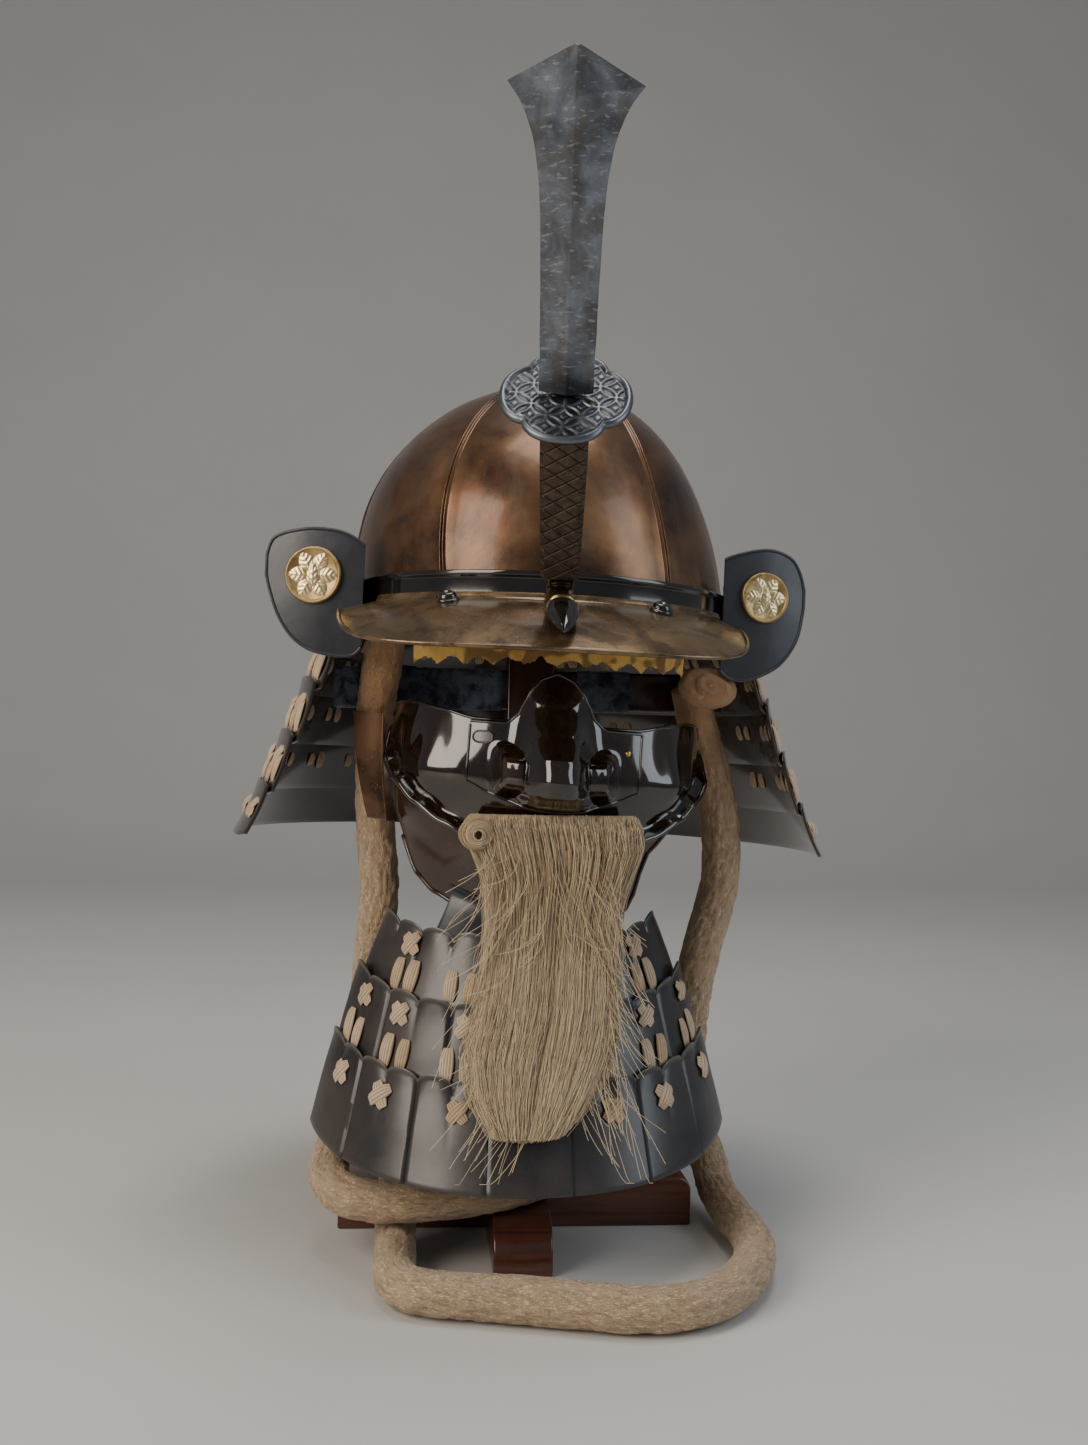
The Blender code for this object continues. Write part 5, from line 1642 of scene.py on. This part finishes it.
def lame_mesh(level, grid, grooves, paler):
    bm = bmesh.new()
    dark = bm.verts.layers.float.new("groove")
    bright = bm.verts.layers.float.new("paler")
    rows = skin(bm, grid)
    for row, a, b in zip(rows, grooves, paler):
        for v, x, y in zip(row, a, b):
            v[dark], v[bright] = x, y
    bm.normal_update()
    bm.faces.ensure_lookup_table()
    middle = bm.faces[len(bm.faces) // 2]
    centre = middle.calc_center_median()
    if middle.normal.dot(Vector((centre.x - THROAT_X, centre.y - THROAT_Y, 0))) < 0:
        bmesh.ops.reverse_faces(bm, faces=bm.faces)
    scaled(bm)
    mesh = bpy.data.meshes.new("throat")
    bm.to_mesh(mesh)
    bm.free()
    for mat in (throat_lacquer(), throat_edge()):
        mesh.materials.append(mat)
    blank = bpy.data.objects.new("throat_blank", mesh)
    bpy.context.scene.collection.objects.link(blank)
    solid = blank.modifiers.new("thickness", "SOLIDIFY")
    solid.thickness = 1.5 * MM
    solid.offset = -1.0
    solid.use_even_offset = True
    solid.material_offset_rim = 1
    broken = blank.modifiers.new("edge", "BEVEL")
    broken.width = 0.4 * MM
    broken.segments = 2
    broken.limit_method = "ANGLE"
    broken.angle_limit = math.radians(60.0)
    return applied(blank)


# Lacing
def lace_strip(bm, layer, width, length, rise, bundles=5, along=9, place=HERE, arch=1.0):
    """A short run of lace: side-by-side strands bulging between the holes where it goes through."""
    across = bundles * 4
    rows = []
    for i in range(along + 1):
        v = i / along
        hump = math.sin(math.pi * v) ** 0.45 * arch if 0 < v < 1 else 0.0
        pinch = 0.62 + 0.38 * math.sin(math.pi * min(1.0, max(0.0, v))) ** 0.6
        row = []
        for j in range(across + 1):
            u = 2 * j / across - 1
            strand = abs(math.sin(math.pi * bundles * j / across))
            side = math.sqrt(max(0.0, 1 - u * u * 0.92))
            height = rise * hump * side + 0.42 * strand * (0.4 + 0.6 * hump)
            row.append((place @ Vector((width / 2 * u * pinch, length * (v - 0.5), height)), 1 - strand))
        rows.append(row)
    verts = skin(bm, [[p for p, _ in row] for row in rows])
    for row, line in zip(verts, rows):
        for v, (_, groove) in zip(row, line):
            v[layer] = groove


def lace_unit(kind):
    width = sizes().lace_width / MM
    bm = bmesh.new()
    layer = bm.verts.layers.float.new("groove")
    if kind == "upright":
        lace_strip(bm, layer, width, 17.0, 2.1, 5, 10)
    elif kind == "cross":
        lace_strip(bm, layer, width * 0.92, 13.5, 1.3, 4, 8, turn("Z", 42.0))
        lace_strip(bm, layer, width * 0.92, 13.5, 2.6, 4, 8, turn("Z", -42.0))
    else:
        lace_strip(bm, layer, width * 0.9, 9.5, 1.1, 4, 5)
    scaled(bm)
    mesh = bpy.data.meshes.new("lace " + kind)
    bm.to_mesh(mesh)
    bm.free()
    mesh.shade_smooth()
    return mesh


def shaken(rng, place, tilt=5.0):
    return place @ turn("Z", float(rng.normal(0, tilt))) @ turn("X", float(rng.normal(0, 2.0)))


def build_lacing():
    rng = np.random.default_rng(sizes().seed)
    uprights, crosses, inside = [], [], []

    def on(point, degrees, t, step=1.0, front=False):
        """A frame on a surface given by point(degrees, t), its Y running up the surface."""
        at, low, side = point(degrees, t), point(degrees, t - 0.02), point(degrees + step, t)
        up = (low - at).normalized()
        normal = (side - at).cross(up).normalized()
        if normal.dot(Vector((at.x, at.y, 0))) < 0:
            normal = -normal
        if front and normal.y > 0.9:
            normal = -normal
        return facing(at + normal * 0.15, normal, up)

    def size():
        s = float(rng.normal(1.0, 0.06))
        return (s, s, float(rng.uniform(0.85, 1.2)))

    for level in range(3):
        def on_throat(degrees, t, level=level):
            return throat_point(level, degrees, t, 0.0, 0.5)

        tall = THROAT[level][0][2] - THROAT[level][1][2]
        for k in range(-3, 4):
            centre = k * (21.5 if level else 24.0)
            if abs(centre) > 68:
                continue
            for side in (-1, 1):
                d = centre + side * (3.1 if level else 3.6)
                if level < 2:
                    t = (tall - 15.5) / tall
                    uprights.append((shaken(rng, on(on_throat, d, t), 3.0), size(), float(rng.uniform(0, 0.5))))
            if level or abs(k) != 1:
                place = on(on_throat, centre + (2.0 if k % 2 else -1.0), 0.26 if level < 2 else 0.30)
                crosses.append((shaken(rng, place, 12.0), size(), float(rng.uniform(0, 0.6))))

    def on_first(degrees, t):
        return oval(BOWL_A + lerp(8.6, 18.2, t), BOWL_B + lerp(8.6, 18.2, t), degrees, lerp(-12.0, -36.0, t))

    neck = [on_first] + [lambda d, t, k=k: lame_point(k, d, t) for k in range(4)]
    for k, point in enumerate(neck):
        for n in range(15):
            degrees = lerp(73.0, 287.0, n / 14)
            for side in (-1, 1):
                d = degrees + side * 2.1
                if k < 4:
                    t = (0.72, 0.56, 0.60, 0.60)[k]
                    place = HELMET @ on(point, d, t)
                    uprights.append((shaken(rng, place, 3.0), size(), float(rng.uniform(0, 0.5))))
                    within = HELMET @ on(point, d, t - 0.10) @ move(0, 0, -LAME_T - 0.3) @ turn("Y", 180.0)
                    inside.append((shaken(rng, within, 5.0), size(), float(rng.uniform(0, 0.3))))
            if k:
                place = HELMET @ on(point, degrees, 0.42 if k < 4 else 0.5)
                crosses.append((shaken(rng, place, 10.0), size(), float(rng.uniform(0, 0.6))))
    mat = silk()
    scattered("laces_upright", uprights, lace_unit("upright"), mat)
    scattered("laces_crossed", crosses, lace_unit("cross"), mat)
    scattered("laces_inside", inside, lace_unit("flat"), mat)


# Beard
BEARD = [
    (244, -36, 53, -114.0, 8), (238, -40, 56, -113.2, 16), (228, -36, 57, -113.2, 19),
    (214, -28, 52, -113.6, 17), (197, -26, 45, -115.0, 15), (183, -26, 43, -118.0, 14),
    (164, -28, 41, -126.0, 13), (147, -31, 41, -133.0, 12), (128, -37, 38, -140.0, 11),
    (110, -35, 29, -147.0, 10), (96, -29, 20, -153.0, 9), (86, -22, 8, -156.5, 6),
]


def beard_hair(rng, count, steps, part):
    """Strand points inside the beard's own form, gathered into locks towards their tips."""
    rows = np.array(BEARD[::-1], float)
    root_u = rng.uniform(*part, count)
    root_z = 245.0 - 9.0 * rng.random(count) ** 0.8 - 90.0 * (rng.random(count) ** 5)
    end_z = 88.0 + 70.0 * rng.random(count) ** 2.2
    end_z = np.minimum(end_z, root_z - 60.0)
    depth = rng.uniform(0.12, 1.0, count) ** 0.6
    locks = np.sort(rng.uniform(part[0], part[1], 11))
    lock = locks[np.abs(root_u[:, None] + rng.normal(0, 0.05, count)[:, None] - locks[None]).argmin(1)]
    s = np.linspace(0, 1, steps)[None, :]
    z = root_z[:, None] + (end_z - root_z)[:, None] * s
    pull = 0.55 * s**1.4
    drift = rng.normal(0, 0.05, count)[:, None] * np.sin(s * rng.uniform(2, 6, count)[:, None])
    u = root_u[:, None] * (1 - pull) + lock[:, None] * pull + drift * s
    left, right, back, deep = (np.interp(z, rows[:, 0], rows[:, k]) for k in range(1, 5))
    x = left + (right - left) * u
    round_off = np.clip(4 * u * (1 - u), 0.0, 1.0) ** 0.35
    wave = 1.2 * np.sin(s * rng.uniform(5, 12, count)[:, None] + rng.uniform(0, 6.28, count)[:, None])
    ridge = 1.6 * np.cos((u - lock[:, None]) * 30.0)
    y = back - (deep * round_off + 1.2 + ridge * round_off) * depth[:, None] - 0.4 * wave
    x = x + 0.6 * wave * s
    return np.stack([x, y, z], -1), s


def stray_hair(rng, count, steps):
    """Loose single hairs that leave the beard at its sides and its tip."""
    s = np.linspace(0, 1, steps)[None, :]
    root = np.stack([rng.uniform(-30, 42, count), rng.uniform(-146, -122, count), rng.uniform(108, 232, count)], -1)
    root[:, 1] = np.interp(root[:, 2], [86, 128, 164, 240], [-164, -150, -138, -130])
    side = np.sign(root[:, 0] - 5.0)
    reach = rng.uniform(6, 26, count)
    fall = rng.uniform(16, 60, count)
    x = root[:, :1] + (side * reach)[:, None] * s**1.5
    z = np.maximum(root[:, 2:] - fall[:, None] * s + (rng.normal(0, 6, count)[:, None]) * s * s, 66.0)
    y = root[:, 1:2] - 4.0 * np.sin(s * 3.0) * rng.random(count)[:, None]
    x += 2.0 * np.sin(s * rng.uniform(2, 7, count)[:, None])
    y = np.minimum(y, np.interp(z, [60, 86, 128, 164, 240], [-162, -158, -147, -136, -128]))
    return np.stack([x, y, z], -1), s


def curl_hair(rng, count, steps):
    """The rolled lock at the beard's top left corner."""
    s = np.linspace(0, 1, steps)[None, :]
    start = rng.uniform(0, 6.28, count)[:, None]
    turns = rng.uniform(3.4, 6.4, count)[:, None]
    radius = rng.uniform(3.0, 9.0, count)[:, None] * (1 - 0.25 * s)
    a = start + turns * s
    x = -31.0 + radius * np.cos(a) * 1.05 + rng.normal(0, 0.5, count)[:, None]
    z = 234.5 + radius * np.sin(a)
    y = -121.0 - 6.0 * (1 - (radius / 10.0) ** 2) - rng.uniform(0, 3.0, count)[:, None] - 1.2 * s
    return np.stack([x, y, z], -1), s


def beard_core():
    """A solid under the hair, a little inside it, so that no gap shows through."""
    loops = []
    rows = smooth_route([Vector(r[:3]) for r in BEARD], 3)
    backs = smooth_route([Vector((r[3], r[4], 0)) for r in BEARD], 3)
    for (z, left, right), (back, depth, _) in zip(rows, backs):
        bow = 4.0 if z > 150 else 2.0
        front, behind = [], []
        for k in range(49):
            u = k / 48
            round_off = (4 * u * (1 - u)) ** 0.35 if 0 < u < 1 else 0.0
            ridge = 0.7 * math.cos(2 * math.pi * 9 * u + z * 0.02)
            stand = max(0.4, (depth * 0.62 + ridge) * round_off)
            x = lerp(left + 1.5, right - 1.5, u)
            base = back + bow * (2 * u - 1) ** 2
            front.append(Vector((x, base - stand, z)))
            behind.append(Vector((x, base, z)))
        loops.append(front + behind[::-4])
    bm = bmesh.new()
    tone = bm.verts.layers.float.new("tone")
    rows = skin(bm, loops, closed=True)
    # Painted shade: the core's tone is kept low, so it shows darker than most strands, as the shaded depth of the beard
    for row in rows:
        for k, v in enumerate(row):
            v[tone] = 0.12 + 0.25 * abs(math.sin(k * 1.7))
    lid(bm, rows[0])
    lid(bm, rows[-1][::-1])
    made("beard_core", bm, [horsehair()], "beard", smooth=60.0)


def build_beard():
    rng = np.random.default_rng(sizes().seed + 1)
    beard_core()
    mat = horsehair()
    thick = sizes().hair_width / 2
    share = sizes().hair_strands // 3
    for name, part in (("left", (0.0, 0.36)), ("middle", (0.30, 0.70)), ("right", (0.64, 1.0))):
        points, s = beard_hair(rng, share, 10, part)
        count = len(points)
        tone = rng.uniform(0.15, 1.0, count)[:, None] * np.ones_like(s)
        tip = 0.55 * s**2 * rng.random(count)[:, None]
        width = rng.uniform(0.7, 1.25, count)[:, None] * (1 - 0.75 * s**3)
        strands("beard_hair_" + name, points, width, {"tone": tone, "tip": tip}, mat, 3, thick)
    points, s = stray_hair(rng, 240, 16)
    tone = rng.uniform(0.4, 1.0, 240)[:, None] * np.ones_like(s)
    strands("beard_strays", points, 0.8 * (1 - 0.6 * s) * np.ones((240, 1)), {"tone": tone, "tip": 0.5 * s * tone}, mat, 3, thick)
    points, s = curl_hair(rng, 420, 18)
    tone = rng.uniform(0.1, 1.0, 420)[:, None] * np.ones_like(s)
    strands("beard_curl", points, np.ones((420, 18)), {"tone": tone, "tip": 0.2 * s * tone}, mat, 3, thick)


# Chin cord
CORD_ROUTE = [
    (-80, -48, 347), (-82, -42, 326), (-85, -30, 306), (-86, -24, 288), (-86, -22, 256), (-85, -22, 228),
    (-82, -23, 196), (-84, -24, 164), (-87, -21, 128), (-90, -18, 96), (-94, -26, 70), (-103, -44, 52),
    (-106, -68, 42), (-94, -88, 37), (-70, -95, 36), (-44, -95, 37.5), (-16, -90, 40), (8, -72, 40),
    (29, -50, 39.9), (39, -18, 39.9), (38, 16, 39.9), (12, 35, 39.9), (-20, 35, 39.9), (-46, 22, 39.9),
    (-60, -8, 41), (-66, -34, 44), (-68, -54, 30), (-69, -70, 14), (-69, -90, 12), (-69, -118, 12), (-68, -141, 12),
    (-57, -156, 12), (-34, -163, 12), (-6, -169, 12), (24, -177, 12), (52, -183, 12), (80, -176, 12),
    (104, -152, 12), (120, -118, 12), (125, -84, 12), (122, -50, 13), (120, -18, 17), (118, 6, 32),
    (108, 12, 50), (101, -8, 76), (99, -26, 106), (99, -36, 134), (105, -37, 165), (114, -36, 200),
    (114, -35, 232), (109, -33, 262), (103, -31, 282), (98, -35, 297), (94, -39.6, 313),
]


def build_cord():
    depth = sizes().wrinkle / MM
    line = evenly(smooth_route(CORD_ROUTE, 16), 2.2)
    total = sum((b - a).length for a, b in zip(line, line[1:]))
    count, sides = len(line), 60
    side = None
    rings, grooves, warms = [], [], []
    walked = 0.0
    for i, p in enumerate(line):
        before, after = line[max(0, i - 1)], line[min(count - 1, i + 1)]
        ahead = (after - before).normalized()
        if side is None:
            side = ahead.orthogonal().normalized()
        side = (side - ahead * side.dot(ahead)).normalized()
        other = ahead.cross(side)
        ring, groove = [], []
        swell = 1.0 + 0.035 * noise.noise(Vector((walked * 0.02, 4.0, 0.0)))
        for k in range(sides):
            a = 2 * math.pi * k / sides
            on_ring = Vector((math.cos(a), math.sin(a), 0.0))
            spot = Vector((on_ring.x * 3.3, on_ring.y * 3.3, walked * 0.085))
            shift = noise.noise(Vector((on_ring.x * 1.2, on_ring.y * 1.2, walked * 0.03))) * 1.6
            crinkle = noise.noise(spot + Vector((shift, shift, 0.0))) + 0.5 * noise.noise(spot * 2.1)
            fold = abs(crinkle)
            height = depth * (1.3 * min(fold, 0.45) / 0.45 - 1.0)
            radius = (CORD_D / 2 - 0.35) * swell + height
            ring.append(p + (side * on_ring.x + other * on_ring.y) * radius)
            # The groove value marks the crinkles' hollows for painted shade
            groove.append(max(0.0, 1.0 - fold / 0.14))
        rings.append(ring)
        grooves.append(groove)
        share = walked / total
        # Painted light: the cord is tinted orange near its upper ends and on one short stretch, where the warm light
        # falls
        warms.append(0.75 * bump(p.z, 320, 60) + 0.35 * bump(share, 0.765, 0.02))
        if i < count - 1:
            walked += (line[i + 1] - p).length
    bm = bmesh.new()
    deep = bm.verts.layers.float.new("groove")
    warm = bm.verts.layers.float.new("warm")
    rows = skin(bm, rings, closed=True, uv=lambda i, j: (j / sides * 0.72, i * 0.022))
    for row, groove, w in zip(rows, grooves, warms):
        for v, g in zip(row, groove):
            v[deep], v[warm] = g, w
    lid(bm, rows[0])
    lid(bm, rows[-1][::-1])
    cord = made("chin_cord", bm, [crepe()], "helmet_cord", smooth=None, recalc=True)
    knot = build_knot()
    path = [tuple(p * MM) for p in evenly(smooth_route(CORD_ROUTE, 16), 8.0)]


def build_knot():
    """The cord's end wound into a flat bun under the helmet's rim."""
    place = move(99.5, -60.5, 312.2) @ turn("Y", 8.0) @ turn("X", 80.0) @ Matrix.Diagonal((1.0, 0.70, 1.0, 1.0))
    bm = bmesh.new()
    deep = bm.verts.layers.float.new("groove")
    warm = bm.verts.layers.float.new("warm")
    rings, grooves = [], []
    rows, sides = 90, 96
    for i in range(1, rows):
        v = i / rows
        polar = math.pi * v
        ring, groove = [], []
        for k in range(sides):
            a = 2 * math.pi * k / sides
            r = math.sin(polar) ** 0.8 * 17.0
            z = 9.2 * math.cos(polar)
            winding = math.sin(2 * math.pi * (r / 8.4) + a)
            p = Vector((r * math.cos(a), r * math.sin(a), z))
            crinkle = noise.noise(p * 0.5) + 0.5 * noise.noise(p * 1.3)
            swell = 1.0 + 0.045 * winding + 0.03 * crinkle
            ring.append(place @ (p * swell * 0.97))
            # The groove value marks the windings' hollows for painted shade
            groove.append(max(0.0, -winding - 0.6) * 2.0)
        rings.append(ring)
        grooves.append(groove)
    grid = skin(bm, rings, closed=True, uv=lambda i, j: (j / sides * 1.0, i * 0.006))
    for row, line in zip(grid, grooves):
        for v, g in zip(row, line):
            # The whole bun takes the painted light's orange tint
            v[deep], v[warm] = min(1.0, g), 0.8
    lid(bm, grid[0])
    lid(bm, grid[-1][::-1])
    return made("cord_bun", bm, [crepe()], "cord_knot", smooth=None)


# Stage
def softbox(name, at, target, width, height, power, colour):
    light = bpy.data.lights.new(name, "AREA")
    light.shape = "RECTANGLE"
    light.size, light.size_y = width, height
    light.energy = power
    light.color = colour
    obj = bpy.data.objects.new(name, light)
    bpy.context.scene.collection.objects.link(obj)
    obj.location = at
    obj.rotation_euler = (Vector(target) - Vector(at)).to_track_quat("-Z", "Y").to_euler()
    return obj


def build_camera():
    camera = bpy.data.cameras.new("camera")
    camera.sensor_fit = "VERTICAL"
    camera.sensor_height = 36.0
    camera.lens = 36.0 * 1511.0 / 1445.0
    camera.clip_start, camera.clip_end = 0.05, 50.0
    obj = bpy.data.objects.new("camera", camera)
    bpy.context.scene.collection.objects.link(obj)
    yaw, pitch, roll = math.radians(5.35), math.radians(-0.78), math.radians(1.2)
    ahead = Vector((math.sin(yaw) * math.cos(pitch), math.cos(yaw) * math.cos(pitch), math.sin(pitch)))
    right = ahead.cross(Vector((0, 0, 1))).normalized()
    up = right.cross(ahead)
    right, up = right * math.cos(roll) + up * math.sin(roll), up * math.cos(roll) - right * math.sin(roll)
    place = Matrix((right, up, -ahead)).transposed().to_4x4()
    place.translation = Vector((-70.6, -897.2, 303.0)) * MM
    obj.matrix_world = place
    bpy.context.scene.camera = obj


def floor_finish():
    c = colours()
    return finish("pale floor", tuple(v * 0.94 for v in c.floor), c.floor, (3.0, 0.3, 0.0), (0.75, 0.85), None,
                  (400.0, 0.1, 0.0003))


def build_stage():
    stage = bpy.context.scene.helmet_stage
    bm = bmesh.new()
    profile = [(-3.5, 0.0), (1.6, 0.0)]
    for k in range(1, 13):
        a = math.pi / 2 * k / 12
        profile.append((1.6 + 0.9 * math.sin(a), 0.9 - 0.9 * math.cos(a)))
    profile.append((2.5, 4.5))
    grid = [[Vector((x, y, z - 0.0002)) for x in (-4.5, -1.5, 1.5, 4.5)] for y, z in profile]
    skin(bm, grid)
    bmesh.ops.reverse_faces(bm, faces=bm.faces)
    mesh = bpy.data.meshes.new("floor")
    bm.to_mesh(mesh)
    bm.free()
    mesh.materials.append(floor_finish())
    mesh.shade_smooth()
    obj = bpy.data.objects.new("floor", mesh)
    bpy.context.scene.collection.objects.link(obj)
    aim = (0.0, -0.03, 0.28)
    softbox("key", (-1.25, -1.05, 1.05), aim, 0.9, 1.3, stage.key, (1.0, 0.90, 0.78))
    softbox("fill", (1.35, -0.75, 0.95), aim, 0.7, 1.3, stage.fill, (0.84, 0.92, 1.0))
    softbox("top", (0.1, -0.15, 1.75), (0.0, -0.05, 0.3), 0.9, 0.6, 9.0, (1.0, 0.97, 0.93))
    world = bpy.data.worlds.new("studio")
    world.use_nodes = True
    world.node_tree.nodes["Background"].inputs[0].default_value = (0.60, 0.62, 0.66, 1.0)
    world.node_tree.nodes["Background"].inputs[1].default_value = 0.30
    bpy.context.scene.world = world


# Operators
class HELMET_OT_camera(bpy.types.Operator):
    """Adds the camera at the photograph's viewing angle"""

    bl_idname = "helmet.camera"
    bl_label = "Camera"

    def execute(self, context):
        build_camera()
        return {"FINISHED"}


class HELMET_OT_cord(bpy.types.Operator):
    """Builds the chin cord and its knot"""

    bl_idname = "helmet.cord"
    bl_label = "Chin cord"

    def execute(self, context):
        build_cord()
        return {"FINISHED"}


class HELMET_OT_bowl(bpy.types.Operator):
    """Builds the bowl's six plates, the crown ring and the band"""

    bl_idname = "helmet.bowl"
    bl_label = "Bowl"

    def execute(self, context):
        build_bowl()
        return {"FINISHED"}


class HELMET_OT_peak(bpy.types.Operator):
    """Builds the peak with its rolled edge and bosses"""

    bl_idname = "helmet.peak"
    bl_label = "Peak"

    def execute(self, context):
        build_peak()
        return {"FINISHED"}


class HELMET_OT_crest(bpy.types.Operator):
    """Builds the sword crest: blade, guard, hilt, hook and acorn"""

    bl_idname = "helmet.crest"
    bl_label = "Crest"

    def execute(self, context):
        build_blade()
        build_guard()
        build_hilt()
        build_hook()
        return {"FINISHED"}


class HELMET_OT_wings(bpy.types.Operator):
    """Builds the turned-back wings and their leaf discs"""

    bl_idname = "helmet.wings"
    bl_label = "Wings"

    def execute(self, context):
        build_wing("left", WING_LEFT)
        build_wing("right", WING_RIGHT)
        build_disc("left", -129.0, 0.0, 15.6)
        build_disc("right", 120.5, 2.0, 14.2)
        return {"FINISHED"}


class HELMET_OT_neck(bpy.types.Operator):
    """Builds the neck guard's five lames and the brow lining"""

    bl_idname = "helmet.neck"
    bl_label = "Neck guard and lining"

    def execute(self, context):
        build_neck_guard()
        build_lining()
        return {"FINISHED"}


class HELMET_OT_mask(bpy.types.Operator):
    """Builds the mask: cheeks, jaw, nose, side plate and fittings"""

    bl_idname = "helmet.mask"
    bl_label = "Mask"

    def execute(self, context):
        build_mask()
        return {"FINISHED"}


class HELMET_OT_throat(bpy.types.Operator):
    """Builds the throat guard's scalloped lames and their strap"""

    bl_idname = "helmet.throat"
    bl_label = "Throat guard"

    def execute(self, context):
        build_throat_guard()
        return {"FINISHED"}


class HELMET_OT_lacing(bpy.types.Operator):
    """Laces the neck guard and the throat guard"""

    bl_idname = "helmet.lacing"
    bl_label = "Lacing"

    def execute(self, context):
        build_lacing()
        return {"FINISHED"}


class HELMET_OT_beard(bpy.types.Operator):
    """Grows the horsehair beard with its curl and loose hairs"""

    bl_idname = "helmet.beard"
    bl_label = "Beard"

    def execute(self, context):
        build_beard()
        return {"FINISHED"}


class HELMET_OT_stand(bpy.types.Operator):
    """Builds the wooden stand with its velvet-wrapped bar"""

    bl_idname = "helmet.stand"
    bl_label = "Stand"

    def execute(self, context):
        build_stand()
        return {"FINISHED"}


class HELMET_OT_stage(bpy.types.Operator):
    """Adds the pale floor and the soft studio lights"""

    bl_idname = "helmet.stage"
    bl_label = "Floor and lights"

    def execute(self, context):
        build_stage()
        return {"FINISHED"}


STEPS = (
    HELMET_OT_camera, HELMET_OT_cord, HELMET_OT_bowl, HELMET_OT_peak, HELMET_OT_crest, HELMET_OT_wings,
    HELMET_OT_neck, HELMET_OT_mask, HELMET_OT_throat, HELMET_OT_lacing, HELMET_OT_beard, HELMET_OT_stand,
    HELMET_OT_stage,
)


class HELMET_PT_panel(bpy.types.Panel):
    bl_label = "Samurai helmet"
    bl_idname = "HELMET_PT_panel"
    bl_space_type = "VIEW_3D"
    bl_region_type = "UI"
    bl_category = "Helmet"

    def draw(self, context):
        scene = context.scene
        for group in (scene.helmet_sizes, scene.helmet_colours, scene.helmet_stage):
            box = self.layout.box()
            for name in group.__annotations__:
                box.prop(group, name)
        for step in STEPS:
            self.layout.operator(step.bl_idname)


GROUPS = {"helmet_sizes": HelmetSizes, "helmet_colours": HelmetColours, "helmet_stage": HelmetStage}


def register():
    for name, group in GROUPS.items():
        bpy.utils.register_class(group)
        setattr(bpy.types.Scene, name, bpy.props.PointerProperty(type=group))
    for cls in (*STEPS, HELMET_PT_panel):
        bpy.utils.register_class(cls)


def unregister():
    for cls in (HELMET_PT_panel, *reversed(STEPS)):
        bpy.utils.unregister_class(cls)
    for name, group in GROUPS.items():
        delattr(bpy.types.Scene, name)
        bpy.utils.unregister_class(group)


def main():
    register()
    for step in STEPS:
        area, name = step.bl_idname.split(".")
        getattr(getattr(bpy.ops, area), name)()


if __name__ == "__main__":
    main()
